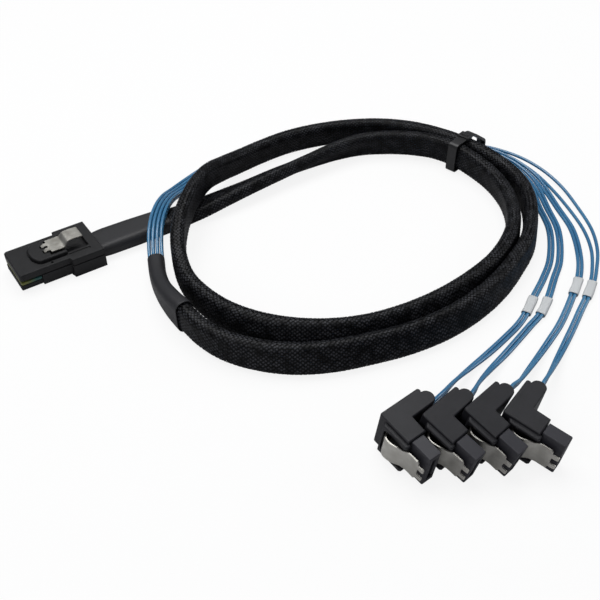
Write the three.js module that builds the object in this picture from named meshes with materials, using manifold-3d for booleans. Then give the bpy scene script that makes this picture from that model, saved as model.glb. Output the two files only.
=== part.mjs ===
// A breakout cable: one flat 36-contact plug, a braided sleeve wound in a loose double loop,
// and four lanes of twin wires that end in right-angle drive plugs with steel latches.
// Millimetres, +Z up. The floor is Z = 0, and the origin is the middle of the flat plug's
// underside, with the plug's nose towards -X and its cable towards +X.

import * as THREE from "three";
import { mergeVertices } from "three/addons/utils/BufferGeometryUtils.js";
import Module from "manifold-3d";

const wasm = await Module();
wasm.setup();

// Driving dimensions

const GAP = 0.3; // between pieces that touch
const SHEET = 0.45; // latch steel

// Flat plug
const NOSE_LENGTH = 20.9;
const NOSE_WIDTH = 18.3;
const NOSE_RAISE = 0.75; // the nose's underside above the body's
const BODY_LENGTH = 13.5;
const BODY_WIDTH = 22.1;
const PLUG_HEIGHT = 8.6;
const PLUG_CORNER = 1.4;
const LIP_HEIGHT = 3.2; // top of the lower lip
const LIP_INSET = 0.7; // from the nose's sides
const LIP_RAISE = 0.35; // of its underside above the nose's
const CARD_THICKNESS = 1.0;
const CARD_CLEARANCE = 0.7; // in the mouth, above and below the card
const MOUTH_DEPTH = 8.6; // how far the mouth is open at its sides
const CARD_DEPTH = 18.5;
const CARD_STEP = 1.3; // how much narrower the card is behind the mouth, each side
const PAD_COUNT = 18;
const PAD_PITCH = 0.8;
const PAD_WIDTH = 0.5;
const PAD_LENGTH = 5.0;
const PAD_RAISE = 0.08;
const PLATFORM_RAISE = 1.4;
const PLATFORM_START = 7.6; // from the nose's front
const PLATFORM_HALF_WIDTH = 6.2;
const PLATFORM_ROUND = 3.6; // length of its rounded front
const RECESS_DEPTH = 1.1; // under the latch, below the platform's top
const POCKET_LENGTH = 9.1;
const POCKET_HALF_WIDTH = 5.0;
const POCKET_DEPTH = 2.2;
const GROOVE_WIDTH = 1.4;
const GROOVE_DEPTH = 0.45;
const GROOVE_SIDE = 6.9; // from the plug's middle
const MOAT_WIDTH = 0.5; // of the channel round the platform
const MOAT_DEPTH = 0.5;
const PIN_HOLE = 1.1; // diameter
const PIN_HOLE_BACK = 14.0;
const PIN_HOLE_SIDE = 7.6;
const POTTING_HALF_WIDTH = 7.0;
const POTTING_HEIGHT = 4.4;
const POTTING_LENGTH = 13.2;
const SHELL_WALL = 1.6;

// Flat plug's latch
const LATCH_TIP = 13.4; // from the nose's front
const LATCH_PRONG_LENGTH = 2.2;
const LATCH_PRONG_WIDTH = 1.8;
const LATCH_PRONG_SPACING = 3.3;
const LATCH_SHOULDER_WIDTH = 8.2;
const LATCH_SHOULDER_LENGTH = 5.4;
const LATCH_TAB_WIDTH = 6.8;
const LATCH_TAB_START = 23.2;
const LATCH_TAB_END = 29.0;
const LATCH_RISE = 1.9; // of the thumb tab above the shoulders

// Drive plug: X along its nose, Y along its cable leg, Z up its contact row
const DRIVE_HEIGHT = 14.9;
const ARM_LENGTH = 13.1;
const ARM_THICKNESS = 8.3;
const LEG_LENGTH = 17.7;
const LEG_THICKNESS = 6.7;
const BOOT_LENGTH = 2.4; // of the round cable boot past the leg
const BOOT_INSET = 1.5;
const EDGE = 0.35; // moulded edge
const SIDE_INSET = 0.8; // of the arm's outer side, behind the latch's root line
const GUARD_PROUD = 0.6; // of the rim that guards the latch, past the root line
const GUARD_START = 2.6;
const GUARD_REACH = 0.9; // past the arm's front
const GUARD_HEIGHT = 13.7;
const CARRIER_LENGTH = 8.0; // of the contact carrier past the arm
const CARRIER_FACE = 2.0; // from the arm's latch side
const CARRIER_THICKNESS = 4.9;
const CARRIER_TRIM = 0.3; // lower than the arm, top and bottom
const TONGUE_LENGTH = 5.0; // of the carrier inside the arm
const TONGUE_TRIM = 0.9;
const SLOT_WIDTH = 10.6;
const SLOT_HEIGHT = 1.5;
const SLOT_DEPTH = 6.0;
const SLOT_WALL = 1.5; // from the carrier's latch side to the slot
const KEY_REACH = 1.3;
const CONTACT_COUNT = 7;
const CONTACT_PITCH = 1.27;
const CONTACT_WIDTH = 0.6;
const CONTACT_RAISE = 0.2;
const WINDOW_START = 4.2; // the latch's window in the arm, from the corner
const WINDOW_DEPTH = 1.5;
const WINDOW_MARGIN = 0.9; // around the latch
const SLIT_DEPTH = 1.6; // behind the window, where the latch is rooted

// Drive plug's latch
const LEAF_MIDDLE = 7.2; // height of its centre line
const LEAF_ROOT_WIDTH = 6.4;
const LEAF_WIDTH = 8.8;
const LEAF_SHOULDER_WIDTH = 8.8;
const LEAF_SHOULDER_START = 14.0;
const LEAF_SHOULDER_END = 19.0;
const LEAF_PRONG_WIDTH = 1.7;
const LEAF_PRONG_SPACING = 4.2;
const LEAF_PROUD = 2.0; // how far its thumb bulge stands out
const LEAF_FRONT = 0.3; // depth of its front below the arm's side

// Cords
const SLEEVE_WIDTH = 12.0;
const SLEEVE_THICKNESS = 6.0;
const SLEEVE_CORNER = 2.6;
const SLEEVE_STEPS = 84;
const STRAND = 1.36; // diameter
const STRAND_SIDES = 8;
const STRAND_SPACING = 1.68;
const STRAND_STEPS = 48;
const FLOOR_GAP = 0.1;
const SHRINK_WALL = 0.4;
const PLUG_SHRINK_WIDTH = 14.4;
const SHRINK_HEIGHT = SLEEVE_THICKNESS / 2 + SHRINK_WALL + FLOOR_GAP; // of its middle
const LABEL_WALL = 0.3;
const LABEL_EASE = 0.3; // between a label and its wires
const LABEL_LENGTH = 10.0;

// Cable tie
const TIE_WIDTH = 4.6;
const TIE_WALL = 0.9;
const TIE_EASE = 0.5; // between the band and the cords
const TIE_LIFT = TIE_WALL + 0.3; // of the cords above the floor
const TIE_HEAD = [4.4, 5.4, 2.6];
const TIE_HEAD_START = 3.2; // from the middle of the inner pass
const TIE_ROW = 12; // of the sleeve's route, on its inner pass
const TIE_HEADING = 14; // degrees, of the line across the passes
const TIE_SPAN = 6.4; // between the middles of the two passes
const TIE_BUNDLE_SPAN = 10.9; // from the outer pass to the wires

// Poses of the four drive plugs: corner's place, heading and how far the nose dips, in degrees.
const DRIVE_POSES = [
  { x: 38.6, y: -143.4, heading: -85.2, dip: 7.5 },
  { x: 48.3, y: -150.7, heading: -80.9, dip: 11.0 },
  { x: 60.3, y: -156.2, heading: -80.6, dip: 12.0 },
  { x: 71.1, y: -164.3, heading: -72.4, dip: 6.0 },
];

// The sleeve's route: x, y, turn of its flat section from lying flat in degrees, and lift above
// the floor where it passes over another cord. It lies on its edge round most of the loop.
const SLEEVE_ROUTE = [
  [34.9, -1.6, 0, 0.2],
  [44, -2.2, -3, 0],
  [54, -2.4, -8, 0],
  [66, -2.2, -20, 0],
  [80, -1.6, -30, 0],
  [96, -0.4, -34, 0],
  [112, -0.2, -45, 0],
  [128, -0.8, -62, 0],
  [141, -3.2, -78, 0],
  [151.4, -9, -86, 0.4],
  [160.4, -16.8, -90, 0.9],
  [167.2, -25.9, -90, TIE_LIFT],
  [170.7, -36.3, -90, TIE_LIFT],
  [171.8, -47.5, -88, 0.7],
  [171.2, -59, -85, 0.2],
  [167.9, -70.3, -84, 0],
  [162.4, -80.4, -84, 0],
  [154.3, -89.9, -84, 0],
  [143.5, -97.7, -83, 0],
  [130.2, -103.8, -79, 0],
  [115.1, -107.4, -74, 0],
  [99, -109, -69, 0],
  [83, -108.2, -66, 0],
  [67.5, -104.9, -66, 0],
  [54, -98.8, -66, 0],
  [43, -90.6, -70, 0],
  [34.2, -80.4, -75, 0],
  [28.3, -69, -80, 0],
  [25.6, -57, -86, 0],
  [25.3, -46.3, -90, 0.4],
  [27.4, -36.5, -90, 1.8],
  [31.5, -27, -90, 4.0],
  [37.6, -18, -90, 6.0],
  [45, -9.8, -90, 7.0],
  [53.5, -1.8, -88, 7.2],
  [63, 5.2, -86, 6.4],
  [73.5, 11, -84, 3.4],
  [85.5, 15.4, -84, 0.9],
  [98.5, 17.9, -84, 0],
  [113, 18.2, -84, 0],
  [128, 15.6, -84, 0],
  [142.5, 10.4, -84, 0],
  [155.8, 2.2, -86, 0.2],
  [165.9, -8.9, -88, 0.7],
  [172.3, -20.5, -90, 1.0],
  [176.4, -32, -90, TIE_LIFT],
  [178.6, -42, -90, TIE_LIFT],
  [179.9, -52.8, -89, 0.5],
  [179.4, -63.8, -86, 0],
  [175.8, -74.5, -85, 0],
  [169.4, -84.2, -84, 0],
  [160.6, -93.4, -84, 0],
  [150.4, -101.6, -83, 0],
  [137.8, -107.9, -79, 0],
  [123.9, -113.4, -74, 0],
  [108.5, -117, -69, 0],
  [92.5, -118.2, -66, 0],
  [76.5, -116.6, -66, 0],
  [61.4, -112.7, -66, 0],
  [47.5, -107.8, -66, 0],
  [35.8, -101.1, -70, 0],
  [26.5, -92.3, -75, 0],
  [19.9, -82.5, -82, 0],
  [16.4, -72.4, -88, 0.4],
  [15.3, -63.2, -90, 0.8],
];

// The twin wires of all four lanes, bundled from the breakout to the tie: x, y, lift.
const BUNDLE_ROUTE = [
  [22.9, -23.2, 2.4],
  [25.2, -18.2, 3.6],
  [28.6, -12.2, 6.4],
  [33, -5.6, 7.4],
  [38.5, 1.2, 7.2],
  [45, 8.4, 5.0],
  [52.5, 14.8, 1.8],
  [61.5, 20.2, 0],
  [73, 24, 0],
  [87, 26.2, 0],
  [101, 26.6, 0],
  [116, 25.4, 0],
  [131, 22.4, 0],
  [146, 17, 0],
  [160, 8.6, 0.2],
  [172, -2.8, 0.8],
  [180.3, -17, 1.1],
  [185, -29.7, TIE_LIFT],
];

// Each lane from the tie to its drive plug: x, y, turn of its two wires from side by side, lift,
// and where they part, how much further apart they are.
const LANE_ROUTES = [
  [
    [188.2, -40.5, 90, 1.2],
    [191.6, -50.2, 75, 0.4],
    [190.6, -59.8, 50, 0],
    [186.9, -69.1, 20, 0],
    [179.5, -81.5, 0, 0],
    [171.3, -95.3, 0, 0],
    [156.7, -109.5, 0, 0],
    [145.7, -116.4, 0, 0.2],
    [133.6, -122.7, 0, 0.5],
    [125.7, -127, 0, 0.5],
    [118.6, -129.9, 0, 0.2],
    [109.2, -132.3, 0, 0],
    [98.2, -134.8, 10, 0.1],
    [87.4, -137.2, 40, 0.8],
    [76.5, -140.6, 70, 3.4],
    [66.8, -144.8, 90, 6.8],
  ],
  [
    [190.1, -39.6, 90, 1.2],
    [193.6, -50, 75, 0.4],
    [193, -60.3, 50, 0],
    [189.5, -70.6, 20, 0],
    [182.2, -83.7, 0, 0],
    [174, -97.6, 0, 0],
    [159.5, -112.1, 0, 0],
    [148.8, -119.1, 0, 0.2],
    [137.7, -126.3, 0, 0.5],
    [129.3, -130.7, 0, 0.5],
    [121.6, -132.9, 0, 0.2],
    [112.5, -135.6, 0, 0],
    [103.4, -138.4, 10, 0.1],
    [91.8, -142.2, 40, 1.6],
    [82, -146.6, 70, 5],
    [76, -150.1, 90, 7.8],
  ],
  [
    [192, -38.7, 90, 1.2],
    [195.6, -49.8, 75, 0.4],
    [195.4, -60.9, 50, 0],
    [192.1, -72.2, 20, 0],
    [186, -86.2, 0, 0],
    [179.2, -100.8, 0, 0],
    [166.6, -116.3, 0, 0.2],
    [156.4, -124.8, 0, 0.5],
    [147.7, -129.9, 0, 0.5],
    [139.4, -134.5, 0, 0.2],
    [130.5, -138.9, 0, 0],
    [122, -142.3, 10, 0],
    [113.6, -145.6, 30, 0.4],
    [103.6, -149.6, 50, 2],
    [93.4, -154, 75, 5.4],
    [87.2, -156.2, 90, 8.2],
  ],
  [
    [193.5, -38.1, 90, 1.2],
    [198.2, -49.6, 60, 0.2, 0.8],
    [199, -61.9, 30, 0, 1.8],
    [196.8, -75, 10, 0, 3],
    [191.6, -90, 0, 0, 2.8],
    [184.6, -104.6, 0, 0, 2],
    [176.4, -115.4, 0, 0, 1],
    [166.6, -124, 0, 0.2, 0.2],
    [159.4, -129.2, 0, 0.5],
    [150.5, -134.2, 0, 0.5],
    [143.7, -137.5, 0, 0.2],
    [135.7, -141.6, 0, 0],
    [126.8, -146, 10, 0.1],
    [116.2, -151.2, 40, 1],
    [106.4, -156.2, 70, 4.2],
    [98.2, -160, 90, 6.6],
  ],
];
// Where each label starts, as a row of the lane's route.
const LABEL_ROWS = [8, 8, 7, 8];

// Materials

function material(color, roughness, metalness = 0) {
  return new THREE.MeshStandardMaterial({ color, roughness, metalness });
}

const shellBlack = material(0x2c2c30, 0.55);
const carrierBlack = material(0x3c3d42, 0.5);
const steel = material(0xa2a29a, 0.38, 1);
const boardGreen = material(0x2f7a5c, 0.5);
const shrinkBlack = material(0x38383b, 0.7);
const braidBlack = material(0x1f2022, 0.85);
const wireBlue = material(0x2e6ea6, 0.4);
const labelWhite = material(0xdcdce0, 0.6);
const tieBlack = material(0x1c1c1e, 0.5);
const pottingBlack = material(0x202022, 0.8);

// Solids

// A closed geometry as a solid that can be joined and cut.
function solid(geometry) {
  const bare = geometry.index ? geometry.toNonIndexed() : geometry.clone();
  bare.deleteAttribute("normal");
  bare.deleteAttribute("uv");
  const merged = mergeVertices(bare, 1e-4);
  return new wasm.Manifold(
    new wasm.Mesh({
      numProp: 3,
      vertProperties: merged.attributes.position.array,
      triVerts: new Uint32Array(merged.index.array),
    }),
  );
}

function geometryOf(body) {
  const mesh = body.getMesh();
  const geometry = new THREE.BufferGeometry();
  geometry.setAttribute("position", new THREE.BufferAttribute(mesh.vertProperties, 3));
  geometry.setIndex(new THREE.BufferAttribute(mesh.triVerts, 1));
  return geometry;
}

function join(...bodies) {
  return bodies.reduce((all, next) => all.add(next));
}

function cut(body, ...tools) {
  return tools.reduce((left, tool) => left.subtract(tool), body);
}

function bar(x0, x1, y0, y1, z0, z1) {
  const box = new THREE.BoxGeometry(x1 - x0, y1 - y0, z1 - z0);
  box.translate((x0 + x1) / 2, (y0 + y1) / 2, (z0 + z1) / 2);
  return solid(box);
}

// An outline in X and Y, from one height to another, with its edges taken off by edge.
function slab(outline, z0, z1, edge = 0, curveSegments = 6) {
  const geometry = new THREE.ExtrudeGeometry(outline, {
    depth: z1 - z0 - 2 * edge,
    bevelEnabled: edge > 0,
    bevelThickness: edge,
    bevelSize: edge,
    bevelOffset: -edge,
    bevelSegments: 1,
    curveSegments,
  });
  geometry.translate(0, 0, z0 + edge);
  return solid(geometry);
}

// An outline in X and Z, from one Y to another.
function sideSlab(outline, y0, y1, curveSegments = 6) {
  const geometry = new THREE.ExtrudeGeometry(outline, {
    depth: y1 - y0,
    bevelEnabled: false,
    curveSegments,
  });
  geometry.rotateX(Math.PI / 2);
  geometry.translate(0, y1, 0);
  return solid(geometry);
}

// A closed outline through straight corners.
function polygon(corners) {
  return new THREE.Shape(corners.map(([x, y]) => new THREE.Vector2(x, y)));
}

function roundedRectangle(width, height, radius) {
  const x = width / 2 - radius;
  const y = height / 2 - radius;
  const quarter = Math.PI / 2;
  const shape = new THREE.Shape();
  shape.absarc(x, y, radius, 0, quarter);
  shape.absarc(-x, y, radius, quarter, 2 * quarter);
  shape.absarc(-x, -y, radius, 2 * quarter, 3 * quarter);
  shape.absarc(x, -y, radius, 3 * quarter, 4 * quarter);
  shape.closePath();
  return shape;
}

// A strip along a line of points, as wide as the sheet is thick.
function bentStrip(points, thickness) {
  const half = thickness / 2;
  const sides = points.map(([x, y], i) => {
    const [ax, ay] = points[Math.max(i - 1, 0)];
    const [bx, by] = points[Math.min(i + 1, points.length - 1)];
    const length = Math.hypot(bx - ax, by - ay);
    return [(-half * (by - ay)) / length, (half * (bx - ax)) / length];
  });
  const left = points.map(([x, y], i) => [x + sides[i][0], y + sides[i][1]]);
  const right = points.map(([x, y], i) => [x - sides[i][0], y - sides[i][1]]);
  return polygon([...right, ...left.reverse()]);
}

// Rings of points, each joined to the next and closed at both ends.
function loft(rings) {
  const count = rings[0].length;
  const positions = rings.flat().flatMap((point) => point.toArray());
  const index = [];
  for (let ring = 0; ring + 1 < rings.length; ring++)
    for (let i = 0; i < count; i++) {
      const a = ring * count + i;
      const b = ring * count + ((i + 1) % count);
      index.push(a, b, b + count, a, b + count, a + count);
    }
  const last = (rings.length - 1) * count;
  for (let i = 1; i + 1 < count; i++) {
    index.push(0, i + 1, i);
    index.push(last, last + i, last + i + 1);
  }
  const geometry = new THREE.BufferGeometry();
  geometry.setAttribute("position", new THREE.Float32BufferAttribute(positions, 3));
  geometry.setIndex(index);
  return geometry;
}

// Cord geometry

const UP = new THREE.Vector3(0, 0, 1);

function leftOf(direction) {
  return new THREE.Vector3().crossVectors(UP, direction).normalize();
}

// The axis across a flat cord, turned by an angle from level about its direction.
function widthAxis(direction, degrees) {
  const angle = THREE.MathUtils.degToRad(degrees);
  return leftOf(direction)
    .multiplyScalar(Math.cos(angle))
    .addScaledVector(UP, Math.sin(angle));
}

// A cord's centre line, which also says how its section is turned at each point.
class CordCurve extends THREE.CatmullRomCurve3 {
  constructor(points, turns) {
    super(points, false, "centripetal");
    this.turns = turns;
    this.arcLengthDivisions = 4 * points.length;
  }

  turnAt(u) {
    const place = this.getUtoTmapping(u) * (this.turns.length - 1);
    const row = Math.min(Math.floor(place), this.turns.length - 2);
    return THREE.MathUtils.lerp(this.turns[row], this.turns[row + 1], place - row);
  }

  computeFrenetFrames(segments) {
    const frames = { tangents: [], normals: [], binormals: [] };
    for (let i = 0; i <= segments; i++) {
      const tangent = this.getTangentAt(i / segments);
      const across = widthAxis(tangent, this.turnAt(i / segments));
      const normal = across.addScaledVector(tangent, -across.dot(tangent)).normalize();
      frames.tangents.push(tangent);
      frames.normals.push(normal);
      frames.binormals.push(new THREE.Vector3().crossVectors(tangent, normal));
    }
    return frames;
  }
}

function cordAlong(curve, section, steps) {
  return new THREE.ExtrudeGeometry(section, {
    steps,
    extrudePath: curve,
    curveSegments: 1,
  });
}

// Height of a rounded rectangle's middle when it rests on the floor, turned by an angle.
function restHeight(width, thickness, corner, degrees) {
  const angle = THREE.MathUtils.degToRad(degrees);
  const upright = (width / 2 - corner) * Math.abs(Math.sin(angle));
  const level = (thickness / 2 - corner) * Math.abs(Math.cos(angle));
  return upright + level + corner + FLOOR_GAP;
}

// Names and place

const cable = new THREE.Group();

function add(name, geometry, look, parent = cable) {
  const mesh = new THREE.Mesh(geometry, look);
  mesh.name = name;
  parent.add(mesh);
  return mesh;
}

// Flat plug, drawn with X measured back from the front of its nose

const PLUG_LENGTH = NOSE_LENGTH + BODY_LENGTH;
const NOSE_FRONT = -NOSE_LENGTH - BODY_LENGTH / 2;
const plug = new THREE.Group();
plug.position.x = NOSE_FRONT;
cable.add(plug);

const CARD_BOTTOM = LIP_HEIGHT + CARD_CLEARANCE;
const CARD_TOP = CARD_BOTTOM + CARD_THICKNESS;
const MOUTH_TOP = CARD_TOP + CARD_CLEARANCE;
const PLATFORM_TOP = PLUG_HEIGHT + PLATFORM_RAISE;
const POCKET_START = NOSE_LENGTH + 0.3;
const POCKET_END = POCKET_START + POCKET_LENGTH;
const POCKET_FLOOR = PLUG_HEIGHT - POCKET_DEPTH;
const POTTING_BOTTOM = SHELL_WALL;
const POTTING_TOP = POTTING_BOTTOM + POTTING_HEIGHT;
const POTTING_START = PLUG_LENGTH - POTTING_LENGTH;

function plugOutline() {
  const nose = NOSE_WIDTH / 2;
  const body = BODY_WIDTH / 2;
  const shape = new THREE.Shape();
  shape.moveTo(0, -nose + PLUG_CORNER);
  shape.absarc(PLUG_CORNER, -nose + PLUG_CORNER, PLUG_CORNER, Math.PI, 1.5 * Math.PI);
  shape.lineTo(NOSE_LENGTH - 0.4, -nose);
  shape.lineTo(NOSE_LENGTH, -body);
  shape.lineTo(PLUG_LENGTH, -body);
  shape.lineTo(PLUG_LENGTH, body);
  shape.lineTo(NOSE_LENGTH, body);
  shape.lineTo(NOSE_LENGTH - 0.4, nose);
  shape.lineTo(PLUG_CORNER, nose);
  shape.absarc(PLUG_CORNER, nose - PLUG_CORNER, PLUG_CORNER, Math.PI / 2, Math.PI);
  return shape;
}

// The room that the card needs: open at the sides in the mouth, walled behind it.
function cardRoom(z0, z1) {
  const back = CARD_DEPTH + 2 * GAP;
  const half = NOSE_WIDTH / 2 - CARD_STEP;
  return join(
    bar(-1, MOUTH_DEPTH, -NOSE_WIDTH, NOSE_WIDTH, z0, z1),
    bar(MOUTH_DEPTH - 1, back, -half, half, z0, z1),
  );
}

function pottingRoom(z0, z1) {
  const half = POTTING_HALF_WIDTH + GAP;
  return bar(POTTING_START - GAP, PLUG_LENGTH + 1, -half, half, z0, z1);
}

function bottomShell() {
  const seam = MOUTH_TOP - GAP;
  const raise = bar(-1, NOSE_LENGTH - 0.6, -NOSE_WIDTH, NOSE_WIDTH, -1, NOSE_RAISE);
  const half = NOSE_WIDTH / 2 - LIP_INSET;
  const lipTrims = [
    bar(-1, MOUTH_DEPTH, -NOSE_WIDTH, NOSE_WIDTH, -1, NOSE_RAISE + LIP_RAISE),
    bar(-1, MOUTH_DEPTH, -NOSE_WIDTH, -half, -1, seam + 1),
    bar(-1, MOUTH_DEPTH, half, NOSE_WIDTH, -1, seam + 1),
  ];
  const wireWay = bar(CARD_DEPTH - 2, POTTING_START, -5, 5, CARD_BOTTOM - 1.2, MOUTH_TOP + 1);
  return cut(
    slab(plugOutline(), 0, seam),
    raise,
    ...lipTrims,
    cardRoom(LIP_HEIGHT, MOUTH_TOP + 1),
    wireWay,
    pottingRoom(POTTING_BOTTOM - GAP, MOUTH_TOP + 1),
  );
}

function platformOutline(grow, end) {
  const round = PLATFORM_START + PLATFORM_ROUND;
  const half = PLATFORM_HALF_WIDTH + grow;
  const shape = new THREE.Shape();
  shape.absellipse(round, 0, PLATFORM_ROUND + grow, half, Math.PI / 2, 1.5 * Math.PI, false);
  shape.lineTo(end, -half);
  shape.lineTo(end, half);
  shape.closePath();
  return shape;
}

function topShell() {
  const recessFloor = PLATFORM_TOP - RECESS_DEPTH;
  const recessFront = LATCH_TIP + LATCH_PRONG_LENGTH - 0.6;
  const recessHalf = LATCH_SHOULDER_WIDTH / 2 + 0.7;
  const prongRoom = [-1, 1].map((side) => {
    const middle = (side * LATCH_PRONG_SPACING) / 2;
    const half = LATCH_PRONG_WIDTH / 2 + GAP;
    return bar(LATCH_TIP - 0.6, recessFront + 1, middle - half, middle + half, recessFloor, 20);
  });
  const grooves = [-1, 1].map((side) => {
    const middle = side * GROOVE_SIDE;
    const half = GROOVE_WIDTH / 2;
    return bar(POCKET_START, POCKET_END, middle - half, middle + half, PLUG_HEIGHT - GROOVE_DEPTH, 20);
  });
  const moatEnd = NOSE_LENGTH - 0.4;
  const moat = slab(platformOutline(MOAT_WIDTH, moatEnd), PLUG_HEIGHT - MOAT_DEPTH, PLUG_HEIGHT + 1);
  const pinHoles = [-1, 1].map((side) => {
    const hole = new THREE.CylinderGeometry(PIN_HOLE / 2, PIN_HOLE / 2, 2, 12);
    hole.rotateX(Math.PI / 2);
    hole.translate(PIN_HOLE_BACK, side * PIN_HOLE_SIDE, PLUG_HEIGHT);
    return solid(hole);
  });
  return cut(
    join(
      cut(slab(plugOutline(), MOUTH_TOP, PLUG_HEIGHT, EDGE), moat),
      slab(platformOutline(0, POCKET_START), PLUG_HEIGHT - 1, PLATFORM_TOP, EDGE),
    ),
    bar(recessFront, POCKET_START + 1, -recessHalf, recessHalf, recessFloor, 20),
    ...prongRoom,
    bar(POCKET_START, POCKET_END, -POCKET_HALF_WIDTH, POCKET_HALF_WIDTH, POCKET_FLOOR, 20),
    ...grooves,
    ...pinHoles,
    pottingRoom(MOUTH_TOP - 1, POTTING_TOP + GAP),
  );
}

function paddleCard() {
  const front = NOSE_WIDTH / 2 - 0.2;
  const back = NOSE_WIDTH / 2 - CARD_STEP - GAP;
  const step = MOUTH_DEPTH - GAP;
  const outline = polygon([
    [0.2, -front + 0.4],
    [0.6, -front],
    [step, -front],
    [step, -back],
    [CARD_DEPTH, -back],
    [CARD_DEPTH, back],
    [step, back],
    [step, front],
    [0.6, front],
    [0.2, front - 0.4],
  ]);
  const pads = [];
  for (let i = 0; i < PAD_COUNT; i++) {
    const middle = (i - (PAD_COUNT - 1) / 2) * PAD_PITCH;
    const y0 = middle - PAD_WIDTH / 2;
    const y1 = middle + PAD_WIDTH / 2;
    pads.push(bar(0.8, 0.8 + PAD_LENGTH, y0, y1, CARD_BOTTOM - PAD_RAISE, CARD_TOP + PAD_RAISE));
  }
  return join(slab(outline, CARD_BOTTOM, CARD_TOP), ...pads);
}

// The moulded block that holds the wires behind the card, with a ridge for each of its wires.
function wirePotting() {
  const half = POTTING_HALF_WIDTH;
  const ridges = 8;
  const pitch = (2 * half) / ridges;
  const corners = [];
  for (let i = 0; i < ridges; i++) {
    corners.push([-half + i * pitch, POTTING_TOP - 0.5]);
    corners.push([-half + (i + 0.5) * pitch, POTTING_TOP]);
  }
  corners.push([half, POTTING_TOP - 0.5], [half, POTTING_BOTTOM], [-half, POTTING_BOTTOM]);
  const geometry = new THREE.ExtrudeGeometry(polygon(corners.reverse()), {
    depth: POTTING_LENGTH - GAP,
    bevelEnabled: false,
  });
  geometry.rotateX(Math.PI / 2);
  geometry.rotateZ(Math.PI / 2);
  geometry.translate(POTTING_START, 0, 0);
  return solid(geometry);
}

function plugLatch() {
  const low = PLATFORM_TOP + GAP + SHEET / 2;
  const high = low + LATCH_RISE;
  const shoulder = LATCH_TIP + LATCH_PRONG_LENGTH;
  const waist = shoulder + LATCH_SHOULDER_LENGTH;
  const side = bentStrip(
    [
      [LATCH_TIP, low - 0.5],
      [LATCH_TIP + 0.9, low - 0.1],
      [shoulder, low],
      [waist - 0.6, low],
      [waist + 0.4, low + 0.3],
      [LATCH_TAB_START - 0.6, high - 0.3],
      [LATCH_TAB_START + 0.4, high],
      [LATCH_TAB_END - 0.6, high],
      [LATCH_TAB_END, high - 0.15],
    ],
    SHEET,
  );
  const wide = LATCH_SHOULDER_WIDTH / 2;
  const tab = LATCH_TAB_WIDTH / 2;
  const outer = (LATCH_PRONG_SPACING + LATCH_PRONG_WIDTH) / 2;
  const inner = (LATCH_PRONG_SPACING - LATCH_PRONG_WIDTH) / 2;
  const half = [
    [LATCH_TIP - 1, inner],
    [LATCH_TIP - 1, outer],
    [shoulder, outer],
    [shoulder, wide - 0.5],
    [shoulder + 0.5, wide],
    [waist, wide],
    [waist + 1.2, tab],
    [LATCH_TAB_END - 0.7, tab],
    [LATCH_TAB_END + 1, tab - 1.7],
  ];
  const mirrored = half.map(([x, y]) => [x, -y]).reverse();
  const notch = shoulder - 0.2;
  const outline = polygon([
    ...mirrored,
    [notch, -inner],
    [notch, inner],
    ...half,
  ].reverse());
  return sideSlab(side, -wide - 1, wide + 1).intersect(slab(outline, low - 3, high + 3));
}

add("sas_bottom_shell", geometryOf(bottomShell()), shellBlack, plug);
add("sas_top_shell", geometryOf(topShell()), shellBlack, plug);
add("sas_paddle_card", geometryOf(paddleCard()), boardGreen, plug);
add("sas_wire_potting", geometryOf(wirePotting()), pottingBlack, plug);
add("sas_latch", geometryOf(plugLatch()), steel, plug);

// Drive plugs, drawn with the corner of the elbow at the origin

const CARRIER_BACK = ARM_LENGTH + GAP;
const CARRIER_FRONT = CARRIER_BACK + CARRIER_LENGTH;
const SLOT_LOW = (DRIVE_HEIGHT - SLOT_WIDTH) / 2;
const WINDOW_HALF = LEAF_SHOULDER_WIDTH / 2 + WINDOW_MARGIN;

function driveOutline() {
  const bootMiddle = (BOOT_INSET + LEG_THICKNESS) / 2;
  const bootHalf = (LEG_THICKNESS - BOOT_INSET) / 2;
  const shape = new THREE.Shape();
  shape.moveTo(0, SIDE_INSET + 1);
  shape.quadraticCurveTo(0, SIDE_INSET, 1, SIDE_INSET);
  shape.lineTo(ARM_LENGTH, SIDE_INSET);
  shape.lineTo(ARM_LENGTH, ARM_THICKNESS);
  shape.lineTo(LEG_THICKNESS + 0.3, ARM_THICKNESS + 0.3);
  shape.lineTo(LEG_THICKNESS, LEG_LENGTH);
  shape.absellipse(bootMiddle, LEG_LENGTH, bootHalf, BOOT_LENGTH, 0, Math.PI, false);
  shape.lineTo(BOOT_INSET - 0.2, LEG_LENGTH - 0.3);
  shape.lineTo(BOOT_INSET - 0.4, LEG_LENGTH);
  shape.lineTo(0.3, LEG_LENGTH);
  shape.lineTo(-0.2, LEG_LENGTH - 0.5);
  return shape;
}

// The raised rim round the latch's window, which ends in an ear above and below the latch.
function latchGuard() {
  const front = ARM_LENGTH + GUARD_REACH;
  const back = CARRIER_FACE - GAP;
  const outline = polygon([
    [GUARD_START, SIDE_INSET],
    [GUARD_START + 1, -GUARD_PROUD],
    [front - 0.6, -GUARD_PROUD],
    [front, -GUARD_PROUD + 0.6],
    [front, back],
    [GUARD_START, back],
  ]);
  return slab(outline, 0, GUARD_HEIGHT, EDGE);
}

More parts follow.
